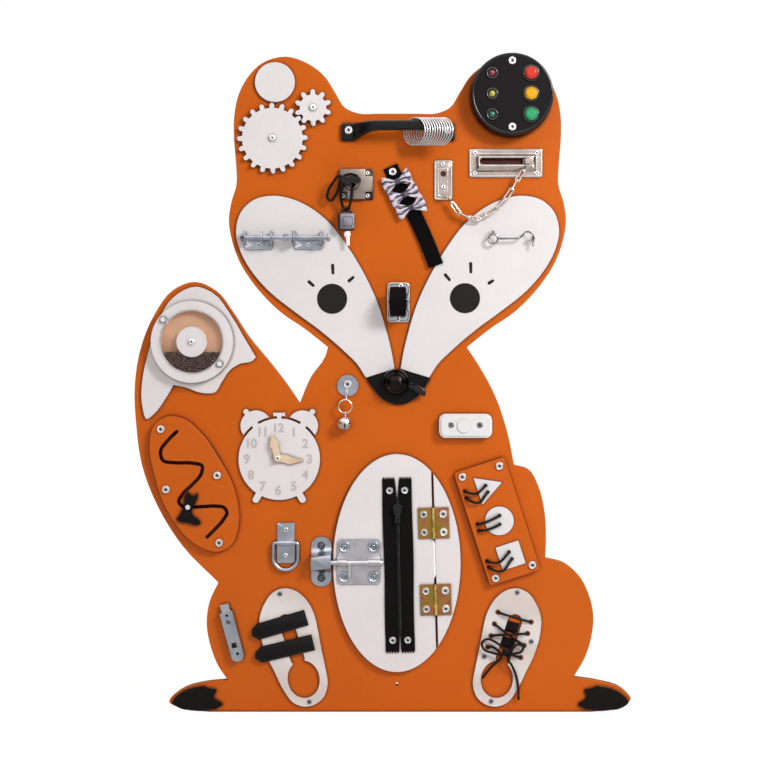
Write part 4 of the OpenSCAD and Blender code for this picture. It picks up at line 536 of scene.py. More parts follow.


def painted_ply(name, colour, edge_light, edge_dark, roughness, veneer=1.3, gloss=0.24, shade_light_left=0.16):
    """Satin paint on birch plywood: even colour, faint roller texture, and veneers of veneer mm showing on the
    sawn edges, which soak up more paint. Inside corners get painted shade; the last argument is the light left there."""
    finish, tree, shader = finish_named(name, colour, roughness, gloss)
    place = node(tree, "TexCoord")
    here = place.outputs["Object"]
    grain = speckle(tree, 500.0, 4.0, node(tree, "Mapping", {"Scale": (1.0, 1.0, 0.12)}, {0: here}))
    blend = calc(tree, "MULTIPLY_ADD", grain, 0.5, speckle(tree, 9.0, 3.0, here))
    face = node(tree, "VectorMath", {"operation": "SCALE", 0: tint(colour)[:3]},
                {3: ranged(tree, blend, 0.4, 1.1, 0.93, 1.05)})
    depth = node(tree, "SeparateXYZ", links={0: here}).outputs["Y"]
    wave = calc(tree, "SINE", calc(tree, "MULTIPLY", depth, math.pi / (veneer * MM)))
    sawn = two_tone(tree, edge_dark, edge_light, ranged(tree, wave, -0.35, 0.35))
    flatness = calc(tree, "ABSOLUTE", node(tree, "SeparateXYZ", links={0: place.outputs["Normal"]}).outputs["Y"])
    skin = node(tree, "Mix", {"data_type": "RGBA"}, {0: ranged(tree, flatness, 0.25, 0.5), 6: sawn, 7: face})
    # Painted shade: ambient occlusion darkens the colour in inside corners and round raised parts.
    painted_corner_shade = node(tree, "AmbientOcclusion", {"samples": 4, "Distance": SHADE_REACH * MM}).outputs["AO"]
    shaded_paint_colour = node(tree, "VectorMath", {"operation": "SCALE"},
                  {0: skin.outputs[2], 3: ranged(tree, painted_corner_shade, 0.42, 0.94, shade_light_left, 1.0)})
    surface(tree, shader, shaded_paint_colour.outputs[0], grain, 0.12)
    return finish


# One paint for each colour; the nose has a coat of gloss over the black
WHITE = ("#ebe5e5", "#e2d7d1", "#d3c6bf", 0.5)
BLACK_EDGES = ("#120f0e", "#0c0a09")
orange_ply = painted_ply("satin_orange_paint_on_birch_plywood", "#d36106", "#b4602c", "#8f4418", 0.4, 1.35)
white_ply = painted_ply("satin_white_paint_on_birch_plywood", *WHITE)
black_ply = painted_ply("satin_black_paint_on_birch_plywood", "#141010", *BLACK_EDGES, 0.5, gloss=0.12)
gloss_black_ply = painted_ply("gloss_black_paint_on_birch_plywood", "#100c0c", *BLACK_EDGES, 0.24, gloss=0.16)

refined("base_board", orange_ply, ease=1.0, smallest="outer")
refined("white_panels", white_ply, ease=0.7, smallest="outer")
black = refined("black_panels", black_ply, gloss_black_ply, ease=0.7, smallest="outer")
slots_by_place(black, lambda m, corners: abs(m.x + 5) < 48 and 415 < m.z < 490)     # the nose

# Eyes and lashes: printed in black on the cheeks, a paint's thickness proud of them
PANEL_T = 4.0
PRINT_T = 0.25
EYE_R = 20.6
LASH_W = 4.3
eye_ink = mottled("matt_black_screen_ink", "#231d1d", "#1b1616", 0.7, 400.0, 3.0, plain="#1e1818", gloss=0.2)


def printed_disc(name, x, z, radius, out, thickness, material):
    bpy.ops.object.select_all(action="DESELECT")
    bpy.ops.mesh.primitive_circle_add(vertices=96, radius=radius * MM, fill_type="NGON",
                                      rotation=(math.radians(90), 0, 0), location=on_board(x, z, out) * MM)
    piece = bpy.context.object
    piece.name = name
    bpy.ops.object.transform_apply(location=True, rotation=True, scale=True)
    bpy.ops.object.mode_set(mode="EDIT")
    bpy.ops.mesh.select_all(action="SELECT")
    bpy.ops.mesh.extrude_region_move(TRANSFORM_OT_translate={"value": (0, -thickness * MM, 0)})
    bpy.ops.mesh.select_all(action="SELECT")
    bpy.ops.mesh.normals_make_consistent(inside=False)
    bpy.ops.object.mode_set(mode="OBJECT")
    bpy.ops.object.shade_smooth_by_angle(angle=math.radians(35))
    wear(piece, material)
    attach(piece, "root")


def lash(name, start, stop):
    """A short painted stroke, round at both ends and a little narrower at the second."""
    a, b = Vector(start), Vector(stop)
    ahead = (b - a).normalized()
    side = Vector((-ahead.y, ahead.x))
    outline = []
    for centre, radius, turn in ((b, LASH_W * 0.42, -90), (a, LASH_W * 0.5, 90)):
        for step in range(0, 181, 20):
            angle = math.radians(turn + step)
            outline.append(centre + (ahead * math.cos(angle) + side * math.sin(angle)) * radius)
    shape = bmesh.new()
    low = [shape.verts.new(on_board(p.x, p.y, PANEL_T) * MM) for p in outline]
    high = [shape.verts.new(on_board(p.x, p.y, PANEL_T + PRINT_T) * MM) for p in outline]
    shape.faces.new(low)
    shape.faces.new(high)
    for k in range(len(outline)):
        m = (k + 1) % len(outline)
        shape.faces.new((low[k], low[m], high[m], high[k]))
    piece_from(name, shape, "root", eye_ink, smooth=None)


printed_disc("eye_left", -93.3, 568.3, EYE_R, PANEL_T, PRINT_T, eye_ink)
printed_disc("eye_right", 89.2, 569.1, EYE_R, PANEL_T, PRINT_T, eye_ink)
lash("lash_left_top", (-92.6, 614.2), (-92, 603.6))
lash("lash_left_outer", (-124.8, 591.6), (-119.1, 586.4))
lash("lash_left_inner", (-69.9, 593), (-64.4, 597.7))
lash("lash_right_top", (97, 616.6), (97.3, 604.9))
lash("lash_right_outer", (62.3, 601.1), (67.9, 594.4))
lash("lash_right_inner", (122.4, 589.8), (127.4, 593.2))


# ---- white wooden toys: gears, clock, door, shape tiles ----
# All are cut from the same white-painted plywood as the panels. The clock's hands are oiled beech, and
# its numerals are printed on the dial.

for name, ease in (("gear_large", 0), ("gear_small", 0), ("clock_face", 0.6), ("door_panel", 0.8),
                   ("tile_triangle", 0.6), ("tile_circle", 0.6), ("tile_square", 0.6)):
    refined(name, white_ply, ease=ease)


def bare_wood(name, light, dark, band, streak, roughness, turn=0.0, strength=0.25):
    """Wood whose growth rings run along one direction, in wavering bands, band mm apart."""
    finish, tree, shader = finish_named(name, light, roughness)
    lain = node(tree, "Mapping", {"Rotation": (0, math.radians(turn), 0)}, {0: object_place(tree)})
    drawn = node(tree, "Mapping", {"Scale": (1.0, 1.0, 0.06)}, {0: lain})
    warp = speckle(tree, 40.0, 2.0, drawn).outputs["Color"]
    bent = node(tree, "Mix", {"data_type": "VECTOR", 0: 0.02}, {4: drawn, 5: warp}).outputs[1]
    rings = node(tree, "TexWave", {"wave_type": "BANDS", "bands_direction": "X", "Scale": 0.314 / (band * MM),
                                   "Distortion": 6.0, "Detail": 3.0, "Detail Scale": 2.0}, {0: bent})
    mixed = calc(tree, "MULTIPLY_ADD", speckle(tree, 900.0, 3.0, drawn), streak, rings.outputs["Fac"])
    colour = two_tone(tree, dark, light, ranged(tree, mixed, 0.1, 1.0 + streak * 0.7))
    surface(tree, shader, colour, mixed, strength)
    return finish


beech_wood = bare_wood("oiled_beech", "#ecd2b2", "#dbb995", 40.0, 0.6, 0.5)
refined("minute_hand", beech_wood, ease=0.3)
refined("hour_hand", beech_wood, ease=0.3)

# Clock numerals: pale grey ink, on a ring about a point a little below the pin
grey_ink = finish_named("pale_grey_screen_ink", "#c9bfbc", 0.6)[0]
DIAL_AT = (-167.5, 347.5)
NUMERAL_RING = 43.0
NUMERAL_SIZE = 17.0
for hour in range(1, 13):
    angle = math.radians(90 - 30 * hour)
    bpy.ops.object.select_all(action="DESELECT")
    bpy.ops.object.text_add(rotation=(math.radians(90), 0, 0))
    numeral = bpy.context.object
    numeral.name = f"numeral_{hour}"
    numeral.data.body = str(hour)
    numeral.data.size = NUMERAL_SIZE * MM
    numeral.data.align_x = "CENTER"
    numeral.data.align_y = "CENTER"
    numeral.data.offset = 0.35 * MM
    numeral.data.extrude = 0.1 * MM
    numeral.data.space_character = 0.95
    numeral.location = on_board(DIAL_AT[0] + NUMERAL_RING * math.cos(angle),
                                DIAL_AT[1] + NUMERAL_RING * math.sin(angle), PANEL_T + 0.1) * MM
    bpy.ops.object.convert(target="MESH")
    bpy.ops.object.transform_apply(location=True, rotation=True, scale=True)
    wear(numeral, grey_ink)
    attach(numeral, "root")


# ---- maze and shape board ----
# Both are 10 mm plywood, painted orange like the board. The maze's slot is routed. Its walls, and a thin sheet
# laid on the board behind it, carry painted shade in a dark red brown.

MAZE_AT = (-282.5, 313.0)
MAZE_TURN = 24


def sawn_plate(name, place, outline, low, high, ease, material, body="root", turn=0.0,
               profile=((0.3, 0.7), (0.7, 0.3)), smooth=40):
    """Flat piece with the given outline in its own frame, from low to high, with its front edge eased.
    The profile's steps go inward and outward, as shares of ease."""
    own = frame_at(place, turn)
    shape = bmesh.new()
    base = shape.faces.new([shape.verts.new(own(x, y, low) * MM) for x, y in outline])
    shape.normal_update()
    if base.normal.y > 0:
        base.normal_flip()
    lifted = bmesh.ops.extrude_face_region(shape, geom=[base])
    bmesh.ops.translate(shape, vec=(0, (low + ease * sum(rise for _, rise in profile) - high) * MM, 0),
                        verts=[g for g in lifted["geom"] if isinstance(g, bmesh.types.BMVert)])
    top = [g for g in lifted["geom"] if isinstance(g, bmesh.types.BMFace)]
    for width, rise in profile:
        bmesh.ops.inset_region(shape, faces=top, thickness=ease * width * MM, depth=ease * rise * MM,
                               use_even_offset=True)
    return piece_from(name, shape, body, material, smooth)


def in_slot(p):
    """True for a face of the slot or its channel, which all lie well inside the panel's oval edge."""
    across, up = turned(p.x - MAZE_AT[0], p.z - MAZE_AT[1], -MAZE_TURN)
    return (across / 52) ** 2 + (up / 104) ** 2 < 0.8


maze_orange = painted_ply("satin_orange_paint_on_thick_plywood", "#d2600a", "#d9793c", "#b8571f", 0.45, 1.4)
# Painted shade: the dark red brown of the slot's walls, and of thin sheets behind slots and holes.
groove_shade = mottled("painted_shade_in_routed_groove", "#540e06", "#3a0703", 0.7, 300.0, 3.0,
                      plain="#5a1606", gloss=0.5)
maze = refined("maze_panel", maze_orange, groove_shade, ease=0.8, smallest="outer")
slots_by_place(maze, lambda m, corners: -15.7 < m.y < -6.4 and all(in_slot(p) for p in corners))
# A thin dark sheet under the slot: painted shade where the board shows through.
sawn_plate("maze_slot_shade", MAZE_AT, ellipse(48, 96, 48), 0.03, 0.13, 0.05, groove_shade, turn=MAZE_TURN)
refined("shape_board", maze_orange, ease=0.8, smallest="outer")


# ---- metal finishes ----
# Nickel and zinc plate over pressed steel, and steel wire: bright, with the faint drawn lines and the
# small stains of cheap hardware.

def plated(name, colour, stain, roughness, rim=None):
    """Plated metal: faint drawn lines along one direction, a few cloudy stains, and, where a rim colour is
    given, a painted dark reflection along the edges that turn away from the view."""
    finish, tree, shader = finish_named(name, colour, roughness, Metallic=1.0)
    here = object_place(tree)
    line = speckle(tree, 1600.0, 2.0, node(tree, "Mapping", {"Scale": (1.0, 1.0, 0.08)}, {0: here}))
    colours = two_tone(tree, stain, colour, ranged(tree, speckle(tree, 55.0, 2.0, here), 0.3, 0.6))
    if rim:
        # Painted reflection: the rim colour is mixed in where the surface turns away.
        rim_reflection_mask = ranged(tree, node(tree, "LayerWeight", {"Blend": 0.5}).outputs["Facing"], 0.35, 0.75)
        colours = node(tree, "Mix", {"data_type": "RGBA", 7: tint(rim)}, {0: rim_reflection_mask, 6: colours}).outputs[2]
    rough = ranged(tree, line, 0.0, 1.0, roughness - 0.05, roughness + 0.08)
    tree.links.new(rough.outputs[0], shader.inputs["Roughness"])
    surface(tree, shader, colours, line, 0.04, 0.1)
    return finish


nickel = plated("nickel_plated_steel", "#dccfc6", "#c8b9ae", 0.24)
zinc = plated("zinc_plated_steel", "#bfc3cc", "#a9adb7", 0.27)
satin_steel = plated("satin_stainless_steel", "#d2cfd3", "#bdbabe", 0.34)
bright_screw = plated("bright_nickel_screws", "#ffffff", "#f2f0ee", 0.42)
screw_head = plated("zinc_plated_screw_heads", "#85868e", "#6c6d75", 0.36)
# The wires, ribs and rods given a rim colour below carry a painted dark reflection along their edges.
ring_wire = plated("polished_steel_ring_wire", "#fbf9f9", "#e9e6e6", 0.25, rim="#0a0808")
hook_wire = plated("zinc_plated_hook_wire", "#a5a5aa", "#86868c", 0.22, rim="#17171a")
rib_metal = plated("drawn_nickel_rib", "#fff6ee", "#ecdfd4", 0.2, rim="#3a2b20")
chain_wire = plated("nickel_plated_chain_wire", "#f2e6dc", "#dccbbd", 0.22, rim="#2a1c14")
bell_black = plated("black_nickel_bell", "#2e2727", "#1c1718", 0.14)
washer_steel = plated("bright_zinc_washers", "#c9cdd6", "#a6abb6", 0.22, rim="#33353c")
bolt_steel = plated("bright_steel_bolt_rod", "#e8e6e6", "#cbc9cb", 0.2, rim="#2a282a")
barrel_brass_and_highlight = plated("yellow_zinc_hinge_barrel", "#f2d478", "#cba548", 0.2, rim="#5a4416")
black_nickel = plated("black_nickel_plate", "#5a4b47", "#3a302e", 0.2)
dark_steel = plated("grey_pressed_steel", "#a7998f", "#82766e", 0.33)
padlock_grey = plated("grey_enamelled_padlock", "#8e8b94", "#77747c", 0.42)
white_nickel = plated("polished_white_nickel", "#ffffff", "#f4f4f2", 0.5)
chrome = plated("polished_chrome", "#ccd1da", "#b3b8c2", 0.14)


def fattened(piece, extra):
    """Thickens bent wire by extra mm all round, as its plating and its rounding do."""
    outward = [vertex.normal * extra * MM for vertex in piece.data.vertices]
    for vertex, way in zip(piece.data.vertices, outward):
        vertex.co += way


for name, finish, ease in (("chain_plates", nickel, 0), ("chain_slider", chain_wire, 0), ("bolt_brackets", zinc, 0),
                           ("wing_nut", zinc, 0.2), ("handle_rings", ring_wire, 0), ("ring_bail", zinc, 0),
                           ("latch_bolt", satin_steel, 0.3), ("door_bolt", bolt_steel, 0.2)):
    refined(name, finish, ease=ease)
for name, finish, extra in (("chain_upper", chain_wire, 0.22), ("chain_lower", chain_wire, 0.22),
                            ("gate_hook", hook_wire, 0.3)):
    fattened(refined(name, finish), extra)
slots_by_place(refined("jingle_bell", nickel, chain_wire), lambda m, corners: m.z > 413)       # its ring
slots_by_place(refined("steel_plates", zinc, chrome), lambda m, corners: m.z > 500)         # the castor

# The chain's lowest link, a stretched ring that joins its two halves
bpy.ops.object.select_all(action="DESELECT")
bpy.ops.mesh.primitive_torus_add(major_segments=28, minor_segments=8, major_radius=3.1 * MM, minor_radius=1.1 * MM)
link = bpy.context.object
link.name = "chain_join"
in_link = frame_at((111.8, 680.6), 33)
for vertex in link.data.vertices:
    vertex.co.x += math.copysign(4.6 * MM, vertex.co.x)
    vertex.co = in_link(vertex.co.x / MM, vertex.co.y / MM, 11 + vertex.co.z / MM) * MM
link.data.update()
bpy.ops.object.shade_smooth()
wear(link, chain_wire)
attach(link, "chain_upper")

# Screws: bright ones, most of them in a cup washer, and big washers. Grey ones hold the door bell and the
# door bolt's strike plate, and small ones the toys low on the board.
CUP_R = 4.4
BIG_WASHER_R = 7.0
SOCKET_R = 1.9
DOORBELL_Z = 394.0
STRIKE_X = -108.2
LOW_Z = 170.0


def screw_slots(piece):
    """Second slot: the flat of a screw's head in its cup, or a whole grey screw; third: its socket; fourth:
    a big washer."""
    shape = bmesh.new()
    shape.from_mesh(piece.data)
    solid = grouped(list(shape.verts), lambda v: [e.other_vert(v) for e in v.link_edges])
    members = {}
    for vertex, number in solid.items():
        members.setdefault(number, []).append(vertex.co / MM)
    heart = {}
    for number, points in members.items():
        x, z = (sum(p[k] for p in points) / len(points) for k in (0, 2))
        heart[number] = (x, z, min(p.y for p in points), max(math.hypot(p.x - x, p.z - z) for p in points))
    for face in shape.faces:
        x, z, top, reach = heart[solid[face.verts[0]]]
        middle = face.calc_center_median() / MM
        far = max(math.hypot(v.co.x / MM - x, v.co.z / MM - z) for v in face.verts)
        by_doorbell = reach < CUP_R and abs(z - DOORBELL_Z) < 14 and 55 < x < 125
        grey = by_doorbell or abs(x - STRIKE_X) < 3 or (reach < 3.5 and z < LOW_Z)
        if far < SOCKET_R and top + 0.15 < middle.y < top + 1.6:
            face.material_index = 2
        elif reach > BIG_WASHER_R:
            face.material_index = 3
        elif grey or (reach > CUP_R and far < 2.75 and middle.y < top + 0.8):
            face.material_index = 1
    shape.to_mesh(piece.data)
    shape.free()


socket_shade = mottled("oily_shadow_in_a_hexagon_socket", "#2c2d33", "#121214", 0.5, 900.0, plain="#202024",
                       Metallic=0.4, gloss=0.5)
for name in ("board_screws", "door_screws"):
    screw_slots(refined(name, bright_screw, screw_head, socket_shade, washer_steel))


def toned(tree, source, *stops):
    """Colour ramp through stops of a position and a hex colour."""
    ramp = node(tree, "ValToRGB", links={0: source})
    points = ramp.color_ramp.elements
    for point, (position, colour) in zip(points, (stops[0], stops[-1])):
        point.position = position
        point.color = tint(colour)
    for position, colour in stops[1:-1]:
        points.new(position).color = tint(colour)
    return ramp.outputs[0]


# Hinges, door bolt and strike: steel passivated yellow, which shimmers from olive to pink
brass_glow, tree, shader = finish_named("yellow_passivated_zinc", "#a8804a", 0.33, Metallic=0.9)
film = speckle(tree, 48.0, 2.0, Distortion=1.2)
surface(tree, shader, toned(tree, film, (0.36, "#a2863a"), (0.5, "#b98348"), (0.66, "#ac5f5a")))
BARREL_Y = -16.2         # the hinges' barrels stand out past here
# The barrels' brighter brass is partly their own colour and partly a painted highlight.
slots_by_place(refined("fixed_hinge_leaves", brass_glow, barrel_brass_and_highlight), lambda m, corners: m.y < BARREL_Y)
slots_by_place(refined("door_fittings", brass_glow, satin_steel, barrel_brass_and_highlight),
               lambda m, corners: m.x < 10, lambda m, corners: m.x > 10 and m.y < BARREL_Y)


# ---- plastic, rubber and powder-coated fittings ----
# The handle, the lock's key, the nose bell, the castor's tyre, the door bell, the zip's slider and the
# maze's rider. The handle is built here in full, since its bar sweeps smoothly into its feet.

black_powder = mottled("black_powder_coated_steel", "#0e0b0c", "#080707", 0.28, bump=0.1, gloss=0.35)
black_abs = mottled("matt_black_abs", "#140f0f", "#0d0a0a", 0.4, bump=0.2, gloss=0.15)
gloss_black = mottled("gloss_black_abs", "#100d0e", "#0a0808", 0.16, bump=0.02, gloss=0.5)
rubber = mottled("black_rubber_tyre", "#1a1516", "#120f10", 0.5, bump=0.1, gloss=0.02)
white_abs = mottled("white_abs", "#f1efee", "#e6e3e2", 0.35, bump=0.05)

for name, finish, ease in (("lock_key", gloss_black, 0.6), ("bell_base", bell_black, 0),
                           ("bell_lever", gloss_black, 0.4), ("castor_wheel", rubber, 0),
                           ("doorbell_case", white_abs, 0.8), ("doorbell_button", white_abs, 0.3),
                           ("zipper_slider", gloss_black, 0.3)):
    refined(name, finish, ease=ease)
rider = refined("maze_rider", black_ply, bright_screw, ease=0.4)
slots_by_place(rider, lambda m, corners: all(math.hypot(p.x + 290, p.z - 283) < 3.5 for p in corners))

# The handle is one casting: a tall foot at the left that narrows and sweeps up into the grip. Each
# station gives its place along the handle and out of the board, half its thickness, and its two edges.
HANDLE_AT = (-2.6, 800.5)
HANDLE_SIDES = 24
STATIONS = [(-77.6, 3, 2.4, -14.4, 8.4), (-77, 3, 3, -15, 9), (-70, 3, 3, -15, 9), (-64, 3.1, 3, -15, 9),
            (-60, 4.4, 3.1, -14.6, 9), (-56, 7.6, 3.3, -13.4, 9), (-51, 12.8, 3.5, -11, 9),
            (-46, 17.2, 3.7, -8.6, 9.1), (-40, 20.8, 3.9, -6.3, 9.2), (-34, 22.9, 4, -4.9, 9.25),
            (-26, 23.9, 4, -4.3, 9.25), (-10, 24, 4, -4.25, 9.25), (20, 24, 4, -4.25, 9.25),
            (48, 24, 4, -4.25, 9.25), (54, 22.6, 3.8, -4.4, 9.25), (57.6, 18.6, 2.8, -5.5, 9.2),
            (59.2, 13, 1.8, -8, 9.1), (60.2, 7.6, 1.8, -12, 9), (62.6, 4, 2.4, -14.6, 9), (66, 3, 3, -15, 9),
            (77, 3, 3, -15, 9), (77.6, 3, 2.4, -14.4, 8.4)]
shape = bmesh.new()
rings = []
for k, (x, out, thick, low, high) in enumerate(STATIONS):
    before, after = STATIONS[max(k - 1, 0)], STATIONS[min(k + 1, len(STATIONS) - 1)]
    lean = math.atan2(after[1] - before[1], after[0] - before[0])
    ring = []
    for step in range(HANDLE_SIDES):
        a = 2 * math.pi * step / HANDLE_SIDES
        across = math.copysign(abs(math.cos(a)) ** 0.45, math.cos(a)) * (high - low) / 2
        up = math.copysign(abs(math.sin(a)) ** 0.6, math.sin(a)) * thick
        ring.append(shape.verts.new(on_board(HANDLE_AT[0] + x - up * math.sin(lean), HANDLE_AT[1] + (low + high) / 2
                                             + across, max(0.05, out + up * math.cos(lean))) * MM))
    rings.append(ring)
for a, b in zip(rings, rings[1:]):
    for k in range(HANDLE_SIDES):
        m = (k + 1) % HANDLE_SIDES
        shape.faces.new((a[k], a[m], b[m], b[k]))
shape.faces.new(rings[0])
shape.faces.new(reversed(rings[-1]))
handle = piece_from("grab_handle", shape, "root", black_powder, rounds=2)
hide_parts("pull_handle")


# ---- lock, padlock and ribs of the sheet plates ----
# Small pressed forms on the flat plates: stepped cases, raised rings and rolled edges, each a plate with
# an eased edge or a rib that follows an outline.

def rounded_box(width, height, radius, steps=5):
    """Outline of a rectangle with round corners, about its middle."""
    points = []
    for x, y, turn in ((1, 1, 0), (-1, 1, 90), (-1, -1, 180), (1, -1, 270)):
        for k in range(steps + 1):
            a = math.radians(turn + 90 * k / steps)
            points.append((x * (width / 2 - radius) + radius * math.cos(a),
                           y * (height / 2 - radius) + radius * math.sin(a)))
    return points


def bead(name, place, outline, out, wide, rise, material, body="root"):
    """A pressed rib that runs round an outline on a sheet's face."""
    route = [on_board(place[0] + x, place[1] + y, out) for x, y in outline + outline[:2]]
    swept(name, route, ellipse(wide / 2, rise, 10), body, material, closed_ends=False)


# Lock case: a pressed steel box whose corners are stepped down for the screws
LOCK_AT = (-60.0, 725.5)
KEYHOLE_AT = (-66.5, 727)
LOCK_W, LOCK_H = 46.0, 42.5
NOTCH = 10.0
# The plate is dark black nickel, which also stands as painted shade in the case's stepped-down corners.
sawn_plate("lock_plate", LOCK_AT, rounded_box(LOCK_W, LOCK_H, 2.5), 0.05, 1.4, 0.4, black_nickel)
half_w, half_h = LOCK_W / 2 - 0.6, LOCK_H / 2 - 0.6
stepped = [(half_w - NOTCH, half_h), (-half_w, half_h), (-half_w, NOTCH - half_h), (NOTCH - half_w, NOTCH - half_h),
           (NOTCH - half_w, -half_h), (half_w - NOTCH, -half_h), (half_w - NOTCH, NOTCH - half_h),
           (half_w, NOTCH - half_h), (half_w, half_h - NOTCH), (half_w - NOTCH, half_h - NOTCH)]
case = sawn_plate("lock_box", LOCK_AT, stepped, 1.3, 7.5, 0.8, dark_steel)
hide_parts("lock_case")
for number, (radius, low, high, finish) in enumerate(((11.0, 7.2, 9.6, black_nickel), (9.5, 9.4, 12.2, dark_steel),
                                                      (7.8, 12.0, 15.0, black_nickel)), 1):
    sawn_plate(f"lock_boss_{number}", KEYHOLE_AT, circle(radius, 40), low, high, 0.6, finish)

# Padlock: a black laminated body with a grey enamelled front, a short black shackle and a bright key
SHACKLE_OUT = 12.9
sawn_plate("padlock_body", (-73.5, 673.5), rounded_box(23, 24, 2.5), 7.2, 17.5, 1.0, gloss_black, "padlock")
sawn_plate("padlock_front", (-72.2, 673.2), rounded_box(19.5, 21.5, 2), 17.3, 18.9, 0.7, padlock_grey, "padlock")
bead("padlock_window", (-71.6, 673), rounded_box(12.5, 12.5, 1), 18.8, 0.9, 0.25, gloss_black, "padlock")
arch = [on_board(-73.5 + 5.6 * math.cos(math.radians(a)), 687 + 5.5 * math.sin(math.radians(a)), SHACKLE_OUT)
        for a in range(0, 181, 12)]
arch = [on_board(-67.9, 684, SHACKLE_OUT)] + arch + [on_board(-79.1, 684, SHACKLE_OUT)]
shackle = swept("padlock_shackle", arch, circle(1.9), "padlock", gloss_black)
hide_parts("padlock")
sawn_plate("padlock_key_bow", (-72.2, 656), rounded_box(8.6, 9, 3.4), 12.0, 14.0, 0.5, white_nickel, "padlock")
sawn_plate("padlock_key_blade", (-71.4, 646.5), rounded_box(4.6, 12.5, 1.2), 12.2, 13.8, 0.4, white_nickel, "padlock")

# The nose bell's two raised rings, and the ribs and rolled edges of the sheet plates
for number, (radius, out) in enumerate(((17.2, 16.6), (12.3, 22.2)), 1):
    bead(f"bell_ring_{number}", (-5.6, 452.7), circle(radius, 48), out, 1.8, 1.1, bell_black)
for name, place, size, out, wide, rise in (
        ("track_edge", (145.5, 755), (97.5, 35.5, 2.5), 1.2, 2.6, 1.0),
        ("track_step", (145.5, 755), (85, 26, 2.5), 1.2, 2.4, 1.0),
        ("track_lip", (145, 757), (73.5, 13, 2), 7.0, 2.2, 0.9),
        ("anchor_edge", (59.5, 731.7), (22.4, 51.9, 2.5), 1.2, 2.4, 1.0),
        ("anchor_step", (59, 728.7), (13, 38, 2), 1.2, 2.0, 1.0),
        ("castor_edge", (-2.2, 563.5), (28.9, 52.4, 5), 1.2, 2.8, 1.2)):
    bead(name, place, rounded_box(*size), out, wide, rise, rib_metal)

# Painted shade: thin dark sheets on the board, seen through the track's slot and the anchor's hole
sawn_plate("track_slot_shade", (144.5, 757), rounded_box(71, 9.5, 4.5), 0.05, 0.4, 0.1, groove_shade)
printed_disc("anchor_hole_shade", 59.5, 740.3, 4.0, 0.05, 0.15, groove_shade)


# ---- light box ----
# A round black case with a rolled rim. Three lamps with coloured acrylic lenses and three push buttons
# stand in polished bezels.

BOX_AT = (152.5, 846.0)
BOX_H = 24.0
BOX_ROW = 28.0           # from one row of lamp and button to the next
LAMP_X = -27.4
BUTTON_X = 25.4
refined("light_box", black_abs, ease=2.0, smallest=80, segments=3)
bright_black = mottled("polished_black_abs", "#141112", "#0d0b0c", 0.12, gloss=1.0, Coat_Weight=1.0,
                       Coat_Roughness=0.1)
bead("box_rim", BOX_AT, circle(53.6, 96), BOX_H - 0.6, 4.6, 1.2, gloss_black)
for row in (-1, 0, 1):
    for name, x, radius in (("lamp", LAMP_X, 7.0), ("button", BUTTON_X, 10.4)):
        bead(f"{name}_rim_{row + 2}", (BOX_AT[0] + x, BOX_AT[1] + row * BOX_ROW), circle(radius, 48), BOX_H + 1.2, 1.9,
             1.1, bright_black)

for name, light, dark in (("red", "#e8402e", "#d13222"), ("yellow", "#f7bb16", "#e5a60c"),
                          ("green", "#38b375", "#2b9c63")):
    cap = mottled(f"{name}_abs_button_cap", light, dark, 0.2, bump=0.02, gloss=0.45)
    refined(f"button_{name}", cap, ease=2.4, segments=5)

lenses = [mottled(f"{name}_acrylic_lens", light, dark, 0.08, gloss=0.6, Coat_Weight=0.6)
          for name, light, dark in (("red", "#a5323a", "#7c1f26"), ("yellow", "#c9c23e", "#a39a22"),
                                    ("green", "#23806a", "#155746"))]


def in_lamp(row):
    return lambda m, corners: all(math.hypot(p.x - BOX_AT[0] - LAMP_X, p.z - BOX_AT[1] - row * BOX_ROW) < 4.6
                                  for p in corners)


slots_by_place(refined("light_electronics", gloss_black, *lenses), in_lamp(1), in_lamp(0), in_lamp(-1))


# ---- grain wheel ----
# A plywood disc with a ring-shaped pocket, stained inside and half full of seeds, under a clear
# acrylic window that two screws hold. The whole disc turns on its axle.

WHEEL_AT = (-284.6, 508.8)


def from_wheel(p):
    return math.hypot(p.x - WHEEL_AT[0], p.z - WHEEL_AT[1])


stained = bare_wood("brown_stained_birch_plywood", "#dbae90", "#a87a5c", 90.0, 0.7, 0.6, turn=60, strength=0.6)
# Less painted shade on the wheel, which its acrylic window would otherwise darken all over.
wheel_ply = painted_ply("satin_white_paint_on_turned_plywood", *WHITE, shade_light_left=0.8)
wheel = refined("grain_wheel", wheel_ply, stained, bright_screw, ease=0.5)
slots_by_place(wheel, lambda m, corners: m.y > -21.8 and all(20 < from_wheel(p) < 42.6 for p in corners),
               lambda m, corners: all(from_wheel(p) > 42.7 and p.y < -22.6 for p in corners))
clear_acrylic, tree, shader = finish_named("clear_acrylic_sheet", "#fdfbf8", 0.02, Transmission_Weight=1.0, IOR=1.1,
                                           Alpha=0.3)
smear = ranged(tree, speckle(tree, 30.0), 0.0, 1.0, 0.0, 0.05)
tree.links.new(smear.outputs[0], shader.inputs["Roughness"])
refined("grain_window", clear_acrylic)
